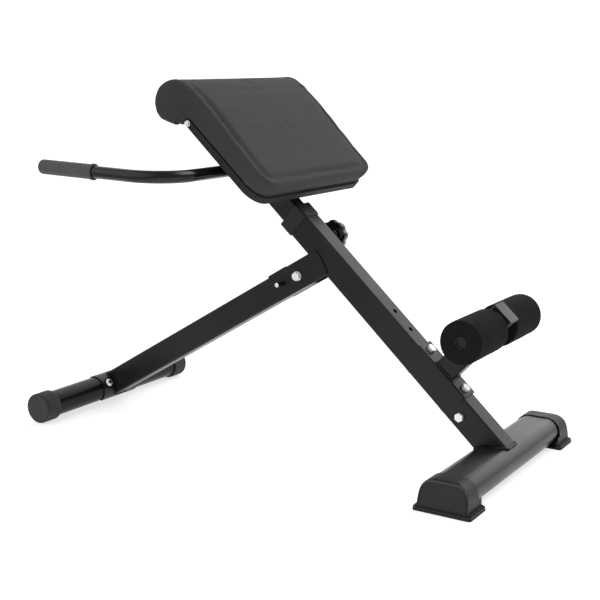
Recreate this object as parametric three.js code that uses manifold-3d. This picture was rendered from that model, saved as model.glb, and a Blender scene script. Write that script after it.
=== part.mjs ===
// Roman chair: a 45 degree back-extension bench with a folding rear leg,
// a telescoping seat post, a wide hip pad and two foam ankle rollers.
// Units are millimetres, +Z is up, the floor is Z = 0, +X points from the
// rear cross tube to the front foot, and Y = 0 is the plane of symmetry.
import * as THREE from 'three';
import { mergeVertices } from 'three/addons/utils/BufferGeometryUtils.js';
import Module from 'manifold-3d';

// ---------------------------------------------------------------- dimensions
const ORIGIN_SHIFT_X = 531;        // rear cross tube axis to the middle of the footprint
const CLEAR = 0.3;                 // gap between separate touching pieces

const BEAM_TILT = 42.76;           // main beam above the floor, degrees
const BEAM_FOOT = [1045.7, 41.6];  // point on the beam centre line (X, Z)
const BEAM_H = 59;                 // beam section across its sloping faces
const BEAM_W = 48;                 // beam section along Y
const BEAM_WALL = 2;
const BEAM_R = 5;
const BEAM_TOP = 656;              // beam length measured up the slope

const POST_H = 49;                 // inner (seat) post section
const POST_W = 38;
const POST_WALL = 2;
const POST_R = 4;
const POST_BOTTOM = 440;
const POST_TOP = 900;

const COLLAR_FROM = 641;           // plastic sleeve on the beam mouth
const COLLAR_TO = 675;
const COLLAR_WALL = 3;

const FOOT_X = 1039.8;             // front cross tube, flat oval
const FOOT_Z = 33.3;
const FOOT_W = 95;
const FOOT_H = 56;
const FOOT_WALL = 2;
const FOOT_HALF = 246;

const BOOT_L = 120;                // rubber boot: flange length in X
const BOOT_OUT = 268.8;            // outer flange edge in Y
const BOOT_IN = 197;               // inner flange edge in Y

const REAR_Z = 35;                 // rear cross tube axis height
const REAR_R = 30;
const REAR_WALL = 2;
const REAR_HALF = 250;
const CAP_R = 35;
const CAP_OUT = 256;
const CAP_IN = 213;

const LEG_TILT = 30.26;            // rear leg above the floor, degrees
const PIVOT = [573, 367.3];        // leg pivot bolt (X, Z)
const LEG_H = 58;
const LEG_W = 48;
const LEG_WALL = 2;
const LEG_R = 5;
const LEG_TO_REAR = 662.2;         // pivot to the rear tube, along the leg
const LOCK_HOLE_A = -43;           // fold-lock hole, along the leg
const LOCK_HOLE_N = 2;             // and across it
const PLATE_T = 2.5;               // leg bracket sheet

const SADDLE_T = 2.5;
const SADDLE_HALF = 62;
const SADDLE_BOLT_Y = 42;

const PIN_S = 598;                 // pull-pin position up the beam
const PIN_R = 4.5;
const HOLE_PITCH = 25;             // seat post adjustment pitch
const KNOB_R = 34;
const KNOB_Y = 38;                 // knob face above the beam's side

const ROLLER_S = 195.7;            // roller axle, along / above the beam
const ROLLER_N = 171.3;
const FOAM_R = 43.7;
const FOAM_OUT = 152.8;
const FOAM_IN = 22;
const AXLE_R = 12.7;
const RPOST_W = 40;
const RPOST_L = 48;
const RPOST_S = 198.2;             // post axis; the roller axle sits 2.5 mm down from it
const RPOST_TOP = 215;
const ROLLER_BOLT_S = [146, 253];
const FREE_HOLE_S = [312.8, 363.6];

const PAD_FROM = 671;              // pad along the beam direction
const PAD_NOSE_S = 953.7;           // centre of the rolled nose
const PAD_NOSE_N = 73.8;
const PAD_NOSE_R = 44.8;
const PAD_HALF = 217;
const PAD_CORNER = 43;
const BOARD_N0 = 59;
const BOARD_N1 = 74.4;
const BOARD_TO = 905;
const BRACKET_S = [716, 846];      // pad brackets on the seat post

const HANDLE_S = 786;              // handle cross bar on the seat post
const HANDLE_N = 37.5;
const HANDLE_R = 12.7;
const HANDLE_Y = 375.6;
const HANDLE_BEND = 86.5;
const HANDLE_TILT = 2;
const HANDLE_REACH = 315;          // bend corner to the free end
const GRIP_R = 15.2;
const GRIP_L = 140;

// ------------------------------------------------------------------ helpers
const wasm = await Module();
wasm.setup();
const rad = (d) => (d * Math.PI) / 180;

function solid(geometry) {
  const g = geometry.clone();
  g.deleteAttribute('normal');
  g.deleteAttribute('uv');
  const m = mergeVertices(g, 1e-4);
  const index = m.index.array;
  const p = m.attributes.position.array;
  return new wasm.Manifold(new wasm.Mesh({
    numProp: 3, vertProperties: new Float32Array(p), triVerts: new Uint32Array(index),
  }));
}
function surface(manifold) {
  const mesh = manifold.getMesh();
  const pos = new Float32Array(mesh.vertProperties.length / mesh.numProp * 3);
  for (let i = 0; i < pos.length / 3; i++) {
    for (let k = 0; k < 3; k++) pos[i * 3 + k] = mesh.vertProperties[i * mesh.numProp + k];
  }
  const g = new THREE.BufferGeometry();
  g.setAttribute('position', new THREE.BufferAttribute(pos, 3));
  g.setIndex(new THREE.BufferAttribute(new Uint32Array(mesh.triVerts), 1));
  g.computeVertexNormals();
  return g;
}
function cut(base, ...tools) {
  let m = solid(base);
  for (const t of tools) m = m.subtract(solid(t));
  return surface(m);
}
function join(...parts) {
  let m = solid(parts[0]);
  for (const p of parts.slice(1)) m = m.add(solid(p));
  return surface(m);
}
function both(a, b) { return surface(solid(a).intersect(solid(b))); }

// rounded rectangle outline centred on the origin
function roundRect(w, h, r, n = 3, hole = null) {
  const pts = [];
  const q = [[w / 2 - r, h / 2 - r, 0], [-w / 2 + r, h / 2 - r, 90], [-w / 2 + r, -h / 2 + r, 180], [w / 2 - r, -h / 2 + r, 270]];
  for (const [cx, cy, a0] of q) {
    for (let i = 0; i <= n; i++) {
      const a = rad(a0 + (90 * i) / n);
      pts.push(new THREE.Vector2(cx + r * Math.cos(a), cy + r * Math.sin(a)));
    }
  }
  if (hole) return pts;
  return new THREE.Shape(pts);
}
function ring(w, h, r, wall, n = 3) {
  const s = roundRect(w, h, r, n);
  s.holes.push(new THREE.Path(roundRect(w - 2 * wall, h - 2 * wall, Math.max(r - wall, 0.5), n, true).reverse()));
  return s;
}
function circleShape(r, n = 32, hole = 0) {
  const pts = [];
  for (let i = 0; i < n; i++) pts.push(new THREE.Vector2(r * Math.cos((2 * Math.PI * i) / n), r * Math.sin((2 * Math.PI * i) / n)));
  const s = new THREE.Shape(pts);
  if (hole) {
    const h = [];
    for (let i = 0; i < n; i++) h.push(new THREE.Vector2(hole * Math.cos((-2 * Math.PI * i) / n), hole * Math.sin((-2 * Math.PI * i) / n)));
    s.holes.push(new THREE.Path(h));
  }
  return s;
}
function prism(shape, length) {
  return new THREE.ExtrudeGeometry(shape, { depth: length, bevelEnabled: false, curveSegments: 12, steps: 1 });
}
// extrude an (x, z) outline along Y between y0 and y1
function slabY(points, y0, y1) {
  const shape = new THREE.Shape(points.map(([x, z]) => new THREE.Vector2(x, z)));
  const g = prism(shape, y1 - y0);
  g.rotateX(Math.PI / 2);           // (x, y, z) -> (x, -z, y)
  g.translate(0, y1, 0);
  return g;
}
// tube or bar of (y, z) section running along X between x0 and x1
function barX(shape, x0, x1) {
  const g = prism(shape, x1 - x0);
  g.rotateY(Math.PI / 2);           // z -> x, x -> -z
  g.rotateX(Math.PI / 2);           // section x -> y, y -> z
  g.translate(x0, 0, 0);
  return g;
}
function cylY(r, y0, y1, x, z, n = 32) {
  const g = new THREE.CylinderGeometry(r, r, y1 - y0, n);
  g.translate(x, (y0 + y1) / 2, z);
  return g;
}
function cylZ(r, z0, z1, x, y, n = 32) {
  const g = new THREE.CylinderGeometry(r, r, z1 - z0, n);
  g.rotateX(Math.PI / 2);
  g.translate(x, y, (z0 + z1) / 2);
  return g;
}
function cylX(r, x0, x1, y, z, n = 32) {
  const g = new THREE.CylinderGeometry(r, r, x1 - x0, n);
  g.rotateZ(Math.PI / 2);
  g.translate((x0 + x1) / 2, y, z);
  return g;
}
function box(x0, x1, y0, y1, z0, z1) {
  const g = new THREE.BoxGeometry(x1 - x0, y1 - y0, z1 - z0);
  g.translate((x0 + x1) / 2, (y0 + y1) / 2, (z0 + z1) / 2);
  return g;
}
// hex head bolt along +Z: underside of head at z = 0, head upward, shank downward
function hexBolt(af, headH, shankR, shankL, washerR = 0, washerT = 0, turn = 0) {
  const R = af / Math.sqrt(3);
  const head = new THREE.LatheGeometry([
    new THREE.Vector2(0, washerT), new THREE.Vector2(R, washerT), new THREE.Vector2(R, washerT + headH * 0.82),
    new THREE.Vector2(R * 0.86, washerT + headH), new THREE.Vector2(0, washerT + headH)], 6);
  head.rotateX(Math.PI / 2);
  head.rotateZ(turn);
  const shank = cylZ(shankR, -shankL, washerT + 0.5, 0, 0, 14);
  const parts = [head, shank];
  if (washerR) parts.push(cylZ(washerR, 0, washerT + 0.2, 0, 0, 18));
  return join(...parts);
}
// hex nut along +Z between z0 and z1, bored for the bolt
function hexNut(af, h, boreR, turn = 0) {
  const R = af / Math.sqrt(3);
  const body = new THREE.LatheGeometry([
    new THREE.Vector2(0, 0), new THREE.Vector2(R, 0), new THREE.Vector2(R, h * 0.8),
    new THREE.Vector2(R * 0.86, h), new THREE.Vector2(0, h)], 6);
  body.rotateX(Math.PI / 2);
  body.rotateZ(turn);
  return cut(body, cylZ(boreR, -1, h + 1, 0, 0, 14));
}
// turn a Z-axis fastener so its head points to -Y (near side) or +Y
const faceNear = (g) => g.rotateX(Math.PI / 2);      // +Z -> -Y
const faceFar = (g) => g.rotateX(-Math.PI / 2);      // +Z -> +Y

const STEEL = { color: 0x232427, roughness: 0.5, metalness: 0.35 };
const RUBBER = { color: 0x1d1e20, roughness: 0.75, metalness: 0 };
const FOAM = { color: 0x17181a, roughness: 0.95, metalness: 0 };
const VINYL = { color: 0x26272a, roughness: 0.6, metalness: 0 };
const ZINC = { color: 0xd5d7da, roughness: 0.35, metalness: 0.9 };
const PLASTIC = { color: 0x1b1c1e, roughness: 0.45, metalness: 0 };
const GLOSS = { color: 0x0d0e10, roughness: 0.2, metalness: 0 };

const chair = new THREE.Group();
const root = new THREE.Group();
root.position.set(-ORIGIN_SHIFT_X, 0, 0);
chair.add(root);
const beam = new THREE.Group();            // local x = down the beam, local z = off its upper face
beam.position.set(BEAM_FOOT[0], 0, BEAM_FOOT[1]);
beam.rotation.y = rad(BEAM_TILT);
root.add(beam);
const leg = new THREE.Group();             // local x = up the leg towards the beam
leg.position.set(PIVOT[0], 0, PIVOT[1]);
leg.rotation.y = -rad(LEG_TILT);
root.add(leg);
chair.updateMatrixWorld(true);

function add(group, name, geometry, look) {
  const mesh = new THREE.Mesh(geometry, new THREE.MeshStandardMaterial(look));
  mesh.name = name;
  group.add(mesh);
  return mesh;
}
// move geometry from one group's frame into another's
function into(geometry, from, to) {
  const g = geometry.clone();
  const m = new THREE.Matrix4().copy(to.matrixWorld).invert().multiply(from.matrixWorld);
  g.applyMatrix4(m);
  return g;
}

// ------------------------------------------------------- front foot and boots
function ovalPoints(w, h, grow = 0, n = 14) {
  const r = h / 2 + grow;
  const f = (w - h) / 2;
  const pts = [];
  for (let i = 0; i <= n; i++) { const a = rad(-90 + (180 * i) / n); pts.push([f + r * Math.cos(a), r * Math.sin(a)]); }
  for (let i = 0; i <= n; i++) { const a = rad(90 + (180 * i) / n); pts.push([-f + r * Math.cos(a), r * Math.sin(a)]); }
  return pts.map(([x, z]) => [x + FOOT_X, z + FOOT_Z]);
}
{
  const outer = slabY(ovalPoints(FOOT_W, FOOT_H), -FOOT_HALF, FOOT_HALF);
  const inner = slabY(ovalPoints(FOOT_W, FOOT_H, -FOOT_WALL), -FOOT_HALF - 1, FOOT_HALF + 1);
  add(root, 'front_base_tube', cut(outer, inner), STEEL);
}
function boot(side) {
  // body outline across X, drawn for the near boot then mirrored
  const half = [[52, 8], [51.6, 20], [50.6, 34], [48.2, 44], [43.6, 52], [37, 58], [28, 62], [18, 63.3], [0, 63.4]];
  const pts = half.map(([x, z]) => [FOOT_X + x, z]).concat(half.slice(0, -1).reverse().map(([x, z]) => [FOOT_X - x, z]));
  // the end face leans inward and its top edge is rounded
  const lean = barX(new THREE.Shape([[-201.5, -1], [-201.5, 70], [-247.2, 70], [-247.3, 63.5], [-250.2, 62.3], [-252.4, 60.2], [-253.8, 57], [-264.6, 10.5], [-264.6, -1]]
    .map(([y, z]) => new THREE.Vector2(y, z))), FOOT_X - 60, FOOT_X + 60);
  const body = both(slabY(pts, -264.6, -201.5), lean);
  const flange = prism(roundRect(BOOT_L, BOOT_OUT - BOOT_IN, 6, 3), 7.5);
  flange.translate(FOOT_X, -(BOOT_OUT + BOOT_IN) / 2, 0);
  const lip = prism(roundRect(BOOT_L - 5, BOOT_OUT - BOOT_IN - 5, 5, 3), 10.5);
  lip.translate(FOOT_X, -(BOOT_OUT + BOOT_IN) / 2, 0);
  const pocket = slabY(ovalPoints(FOOT_W, FOOT_H, 0.2), -FOOT_HALF - 0.4, -190);
  const g = cut(join(body, flange, lip), pocket);
  if (side > 0) g.scale(1, -1, 1);
  return g;
}
function mirrorY(g) {
  const m = g.clone();
  m.scale(1, -1, 1);
  const idx = m.index.array;
  for (let i = 0; i < idx.length; i += 3) { const t = idx[i]; idx[i] = idx[i + 1]; idx[i + 1] = t; }
  m.computeVertexNormals();
  return m;
}
{
  const near = boot(-1);
  add(root, 'front_boot_near', near, RUBBER);
  add(root, 'front_boot_far', mirrorY(near), RUBBER);
}

// ----------------------------------------------- stub, weld and the main beam
const footGrown = (grow) => into(slabY(ovalPoints(FOOT_W, FOOT_H, grow), -80, 80), root, beam);
const belowStub = into(slabY([[900, -200], [1200, -200], [1200, FOOT_Z], [900, FOOT_Z]], -80, 80), root, beam);
{
  const t = BEAM_WALL + 0.5;
  const stub = barX(ring(BEAM_W - 2 * t, BEAM_H - 2 * t, 3, 2), -132, 14);
  add(beam, 'base_stub', cut(stub, footGrown(CLEAR), belowStub), STEEL);

  const bead = barX(ring(BEAM_W + 3, BEAM_H + 3, BEAM_R + 1.5, 3.6), -110, 14);
  const band = both(bead, footGrown(4.2));
  add(beam, 'base_weld', cut(band, footGrown(CLEAR), belowStub), STEEL);
}
{
  const tube = barX(ring(BEAM_W, BEAM_H, BEAM_R, BEAM_WALL, 3), -BEAM_TOP, 14);
  const cutters = [footGrown(4.5), belowStub];
  cutters.push(cylY(5.4, -40, 40, -109, -5, 14));                                  // base bolt
  for (const s of ROLLER_BOLT_S) cutters.push(cylZ(5.4, -40, 40, -s, 0, 14));
  for (const s of FREE_HOLE_S) cutters.push(cylZ(5.4, 10, 40, -s, 0, 14));
  cutters.push(cylY(8.6, 10, 40, -PIN_S, 0, 20));                                  // pin housing
  add(beam, 'main_beam', cut(tube, ...cutters), STEEL);
}
{
  // sleeve over the beam's mouth; its lip closes in round the seat post
  const bore = barX(roundRect(POST_W + 0.9, POST_H + 0.9, POST_R, 3), -COLLAR_TO - 1, -BEAM_TOP + 5);
  const lower = barX(roundRect(BEAM_W + 0.4, BEAM_H + 0.4, BEAM_R, 3), -BEAM_TOP - 0.3, -COLLAR_FROM + 5);
  const whole = barX(roundRect(BEAM_W + 2 * COLLAR_WALL, BEAM_H + 2 * COLLAR_WALL, BEAM_R + 2, 3), -COLLAR_TO, -COLLAR_FROM);
  add(beam, 'beam_collar', cut(whole, bore, lower), PLASTIC);
}
{
  const bolt = hexBolt(17, 6.4, 5, BEAM_W + 9, 0, 0, 0.2);
  faceNear(bolt); bolt.translate(-109, -BEAM_W / 2 - CLEAR, -5);
  add(beam, 'base_bolt', bolt, ZINC);
  const nut = hexNut(17, 7.5, 5.2, 0.5);
  faceFar(nut); nut.translate(-109, BEAM_W / 2 + CLEAR, -5);
  add(beam, 'base_nut', nut, ZINC);
}
// the stub carries the base bolt through matching holes
{
  const m = beam.children.find((c) => c.name === 'base_stub');
  m.geometry = cut(m.geometry, cylY(5.4, -40, 40, -109, -5, 14));
}

// --------------------------------------------------------------- leg bracket
// U-shaped sheet bracket: two cheeks welded to the beam's sides and a bridge
// across the top of the leg that stops it when unfolded
const CHEEK_Y0 = LEG_W / 2 + 0.5;
{
  const beamGap = into(barX(roundRect(BEAM_W + 0.6, BEAM_H + 0.6, BEAM_R, 3), -BEAM_TOP, 60), beam, leg);
  const outline = [[-71, -27], [-66, -29.5], [58, -29.5], [69, -27], [72.5, -18], [73.5, 0], [72.5, 18], [70, 29.8], [-71, 29.8]];
  const near = slabY(outline, -CHEEK_Y0 - PLATE_T, -CHEEK_Y0);
  const far = slabY(outline, CHEEK_Y0, CHEEK_Y0 + PLATE_T);
  const bridge = box(-71, -22, -CHEEK_Y0 - PLATE_T, CHEEK_Y0 + PLATE_T, LEG_H / 2 + 0.6, LEG_H / 2 + 0.6 + PLATE_T);
  const cheekTop = (y0, y1) => slabY([[-71, 25], [-22, 25], [-20, 29], [-22, LEG_H / 2 + 0.6 + PLATE_T], [-71, LEG_H / 2 + 0.6 + PLATE_T]], y0, y1);
  let g = join(near, far, bridge, cheekTop(-CHEEK_Y0 - PLATE_T, -CHEEK_Y0), cheekTop(CHEEK_Y0, CHEEK_Y0 + PLATE_T));
  g = cut(g, beamGap,
    cylY(5.4, -60, 60, 0, 0, 14),
    cylY(5.5, -60, 60, LOCK_HOLE_A, LOCK_HOLE_N, 14));
  add(leg, 'leg_bracket', g, STEEL);
}
const CHEEK_OUT = CHEEK_Y0 + PLATE_T;
{
  const bolt = hexBolt(17, 6.4, 5, 2 * CHEEK_OUT + 12, 0, 0, 0.1);
  faceNear(bolt); bolt.translate(0, -CHEEK_OUT - 1.9, 0);
  add(leg, 'pivot_bolt', bolt, ZINC);
  const washer = (y) => cut(cylY(10.5, y, y + 1.5, 0, 0, 28), cylY(5.3, y - 1, y + 3, 0, 0, 14));
  add(leg, 'pivot_washer_near', washer(-CHEEK_OUT - 1.7), ZINC);
  add(leg, 'pivot_washer_far', washer(CHEEK_OUT + 0.2), ZINC);
  const nut = hexNut(17, 8.5, 5.2, 0.4);
  faceFar(nut); nut.translate(0, CHEEK_OUT + 1.9, 0);
  add(leg, 'pivot_nut', nut, ZINC);
  // lock bolt: screwed through the near cheek into the leg's hole, drawn back here so that the leg is free
  const lock = join(cylY(5.2, -50.4, -25.2, LOCK_HOLE_A, LOCK_HOLE_N, 20), cylY(4.5, -51, -24.7, LOCK_HOLE_A, LOCK_HOLE_N, 20));
  add(leg, 'lock_bolt', lock, ZINC);
}

// ------------------------------------------------------------------ rear leg
const rearAxis = new THREE.Vector3(0, 0, REAR_Z);
const rearLocal = rearAxis.clone().applyMatrix4(new THREE.Matrix4().copy(leg.matrix).invert());
{
  const tube = barX(ring(LEG_W, LEG_H, LEG_R, LEG_WALL, 3), -LEG_TO_REAR + 20, 29);
  // the top end is rounded about the pivot
  const roundEnd = cut(box(0, 60, -40, 40, -40, 40), cylY(LEG_H / 2, -41, 41, 0, 0, 40));
  const gapCut = cylY(REAR_R + SADDLE_T + 0.5, -60, 60, rearLocal.x, rearLocal.z, 36);
  let g = cut(tube, roundEnd, gapCut, cylY(5.4, -60, 60, 0, 0, 14), cylY(5.5, -60, 60, LOCK_HOLE_A, LOCK_HOLE_N, 14));
  add(leg, 'leg_tube', g, STEEL);
}
{
  // half shell round the rear cross tube, open towards the back
  const shellOuter = cylY(REAR_R + SADDLE_T + 0.2, -SADDLE_HALF, SADDLE_HALF, rearLocal.x, rearLocal.z, 36);
  const shellInner = cylY(REAR_R + 0.2, -SADDLE_HALF - 1, SADDLE_HALF + 1, rearLocal.x, rearLocal.z, 36);
  const back = box(rearLocal.x - 80, rearLocal.x + 1.5, -90, 90, rearLocal.z - 80, rearLocal.z + 80);
  const holes = [-1, 1].map((k) => cylX(5.4, rearLocal.x, rearLocal.x + 60, k * SADDLE_BOLT_Y, rearLocal.z, 14));
  add(leg, 'rear_saddle', cut(shellOuter, shellInner, back, ...holes), STEEL);
}
{
  const g = cut(cylY(REAR_R, -REAR_HALF, REAR_HALF, rearLocal.x, rearLocal.z, 36),
    cylY(REAR_R - REAR_WALL, -REAR_HALF - 1, REAR_HALF + 1, rearLocal.x, rearLocal.z, 36),
    ...[-1, 1].map((k) => cylX(5.4, rearLocal.x - 60, rearLocal.x + 60, k * SADDLE_BOLT_Y, rearLocal.z, 14)));
  add(leg, 'rear_cross_tube', g, STEEL);
}
function rearCap() {
  // ribbed rubber cup drawn for the near end
  const n = 30;
  const pts = [];
  for (let i = 0; i < n; i++) {
    const a = (2 * Math.PI * i) / n;
    const r = CAP_R - (i % 2 === 0 ? 0.9 : 0);
    pts.push([rearLocal.x + r * Math.cos(a), rearLocal.z + r * Math.sin(a)]);
  }
  const ribbed = slabY(pts, -CAP_OUT + 5, -CAP_IN);
  const end = cylY(CAP_R, -CAP_OUT + 2.5, -CAP_OUT + 7, rearLocal.x, rearLocal.z, 36);
  const face = cylY(CAP_R - 2.2, -CAP_OUT, -CAP_OUT + 4, rearLocal.x, rearLocal.z, 36);
  const bore = cylY(REAR_R + 0.25, -REAR_HALF - 0.3, -CAP_IN + 1, rearLocal.x, rearLocal.z, 36);
  return cut(join(ribbed, end, face), bore);
}
{
  const near = rearCap();
  add(leg, 'rear_cap_near', near, RUBBER);
  add(leg, 'rear_cap_far', mirrorY(near), RUBBER);
}
for (const [k, tag] of [[-1, 'near'], [1, 'far']]) {
  // socket button bolt through saddle and tube, head towards the leg side
  const head = new THREE.LatheGeometry([
    new THREE.Vector2(0, 0), new THREE.Vector2(9, 0), new THREE.Vector2(9, 1.4), new THREE.Vector2(7.4, 4.2),
    new THREE.Vector2(5, 5.4), new THREE.Vector2(0, 5.4)], 20);
  head.rotateX(Math.PI / 2);
  const shank = cylZ(5, -2 * REAR_R - 14, 0.5, 0, 0, 14);
  const socket = new THREE.CylinderGeometry(3.5, 3.5, 8, 6);
  socket.rotateX(Math.PI / 2); socket.translate(0, 0, 6.4);
  const bolt = cut(join(head, shank), socket);
  bolt.rotateY(Math.PI / 2);
  const flatX = rearLocal.x + REAR_R + SADDLE_T + 0.6;
  bolt.translate(flatX, k * SADDLE_BOLT_Y, rearLocal.z);
  add(leg, `saddle_bolt_${tag}`, bolt, ZINC);
  const nut = hexNut(16, 8, 5.2, 0.3);
  nut.rotateY(-Math.PI / 2);
  nut.translate(rearLocal.x - REAR_R - 0.6, k * SADDLE_BOLT_Y, rearLocal.z);
  add(leg, `saddle_nut_${tag}`, nut, ZINC);
}

// ------------------------------------------------------- pull pin and its knob
{
  // threaded boss standing off the far side of the beam, with a closed mouth
  const W = BEAM_W / 2;
  const body = join(cylY(13, W + CLEAR, W + 4, -PIN_S, 0, 20), cylY(8.2, W - 1.6, W + 24, -PIN_S, 0, 20));
  add(beam, 'pin_housing', cut(body, cylY(PIN_R + 0.3, 0, 70, -PIN_S, 0, 16),
    cylY(6.6, W + 3, W + 22, -PIN_S, 0, 16)), ZINC);

  // plunger: its tip rests just outside the seat post wall
  const pin = join(cylY(PIN_R, POST_W / 2 + 0.5, W + 40, -PIN_S, 0, 16), cylY(6, W + 3.2, W + 4.8, -PIN_S, 0, 16));
  add(beam, 'pull_pin', pin, ZINC);

  // eight-lobed knob whose skirt covers the boss
  const n = 48;
  const pts = [];
  for (let i = 0; i < n; i++) {
    const a = (2 * Math.PI * i) / n;
    const r = KNOB_R - 2.2 + 2.2 * Math.cos(8 * a);
    pts.push([-PIN_S + r * Math.cos(a), r * Math.sin(a)]);
  }
  const y0 = W + KNOB_Y;
  const grip = slabY(pts, y0, y0 + 18);
  const crown = cylY(KNOB_R - 6, y0 + 17, y0 + 21, -PIN_S, 0, 32);
  const hub = cylY(12, W + 12, y0 + 3, -PIN_S, 0, 20);
  const bore = cylY(PIN_R + 0.15, 0, W + 40.2, -PIN_S, 0, 16);
  const skirt = cylY(8.7, W + 6, W + 24.3, -PIN_S, 0, 20);
  add(beam, 'pull_knob', cut(join(grip, crown, hub), bore, skirt), GLOSS);

  // return spring round the plunger, between its collar and the boss's mouth
  class Helix extends THREE.Curve {
    getPoint(t, target = new THREE.Vector3()) {
      const a = 2 * Math.PI * 5 * t;
      return target.set(-PIN_S + 5.7 * Math.cos(a), W + 5.7 + 15.4 * t, 5.7 * Math.sin(a));
    }
  }
  const wire = new THREE.Shape();
  wire.absarc(0, 0, 0.5, 0, 2 * Math.PI, false);
  const coil = new THREE.ExtrudeGeometry(wire, { steps: 50, extrudePath: new Helix(), curveSegments: 3, bevelEnabled: false });
  add(beam, 'pin_spring', coil, ZINC);
}

// -------------------------------------------------------------- ankle rollers
const PLATE_N = BEAM_H / 2 + CLEAR;
{
  const plate = prism(roundRect(142, 50, 5, 3), 4);
  plate.translate(-200.5, 0, PLATE_N);
  const flange = (k) => box(-271, -130, k > 0 ? BEAM_W / 2 + 0.5 : -BEAM_W / 2 - 2.5, k > 0 ? BEAM_W / 2 + 2.5 : -BEAM_W / 2 - 0.5, BEAM_H / 2 - 9, PLATE_N + 3.9);
  const g = cut(join(plate, flange(-1), flange(1)), ...ROLLER_BOLT_S.map((s) => cylZ(5.4, 0, 60, -s, 0, 14)));
  add(beam, 'roller_bracket', g, STEEL);
}
{
  const post = prism(ring(RPOST_L, RPOST_W, 4, 2, 3), RPOST_TOP - PLATE_N - 4 - CLEAR);
  post.translate(-RPOST_S, 0, PLATE_N + 4 + CLEAR);
  add(beam, 'roller_post', cut(post, cylY(AXLE_R + 0.2, -40, 40, -ROLLER_S, ROLLER_N, 24)), STEEL);
  const cap = prism(roundRect(RPOST_L, RPOST_W, 4, 3), 2.4);
  cap.translate(-RPOST_S, 0, RPOST_TOP + 0.1);
  const spigot = prism(roundRect(RPOST_L - 4.6, RPOST_W - 4.6, 2, 3), 14);
  spigot.translate(-RPOST_S, 0, RPOST_TOP + 1 - 14);
  add(beam, 'roller_post_cap', join(cap, spigot), PLASTIC);
}
{
  const axle = cut(cylY(AXLE_R, -150, 150, -ROLLER_S, ROLLER_N, 24), cylY(AXLE_R - 2, -151, 151, -ROLLER_S, ROLLER_N, 24));
  add(beam, 'roller_axle', axle, STEEL);
  for (const [k, tag] of [[-1, 'near'], [1, 'far']]) {
    const plug = join(cylY(AXLE_R - 2.2, k > 0 ? 138 : -150.6, k > 0 ? 150.6 : -138, -ROLLER_S, ROLLER_N, 20),
      cylY(AXLE_R, k > 0 ? 150.2 : -151.8, k > 0 ? 151.8 : -150.2, -ROLLER_S, ROLLER_N, 24));
    add(beam, `axle_plug_${tag}`, plug, PLASTIC);
    const e = 3;
    const profile = [[AXLE_R + 0.6, FOAM_IN], [FOAM_R - e, FOAM_IN], [FOAM_R - 0.9, FOAM_IN + 0.9], [FOAM_R, FOAM_IN + e],
      [FOAM_R, FOAM_OUT - e], [FOAM_R - 0.9, FOAM_OUT - 0.9], [FOAM_R - e, FOAM_OUT], [AXLE_R + 0.6, FOAM_OUT], [AXLE_R + 0.6, FOAM_IN]];
    const foam = new THREE.LatheGeometry(profile.map(([x, y]) => new THREE.Vector2(x, y)), 32);
    if (k < 0) foam.rotateX(Math.PI);
    foam.translate(-ROLLER_S, 0, ROLLER_N);
    add(beam, `foam_roller_${tag}`, surface(solid(foam)), FOAM);
  }
}
for (const [i, tag] of [[0, 'lower'], [1, 'upper']]) {
  const bolt = hexBolt(17, 6.4, 5, BEAM_H + 16, 0, 0, 0.15);
  bolt.translate(-ROLLER_BOLT_S[i], 0, PLATE_N + 4 + CLEAR);
  add(beam, `roller_bolt_${tag}`, bolt, ZINC);
  const nut = hexNut(17, 8, 5.2, 0.2);
  nut.rotateX(Math.PI);
  nut.translate(-ROLLER_BOLT_S[i], 0, -BEAM_H / 2 - CLEAR);
  add(beam, `roller_nut_${tag}`, nut, ZINC);
}

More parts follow.
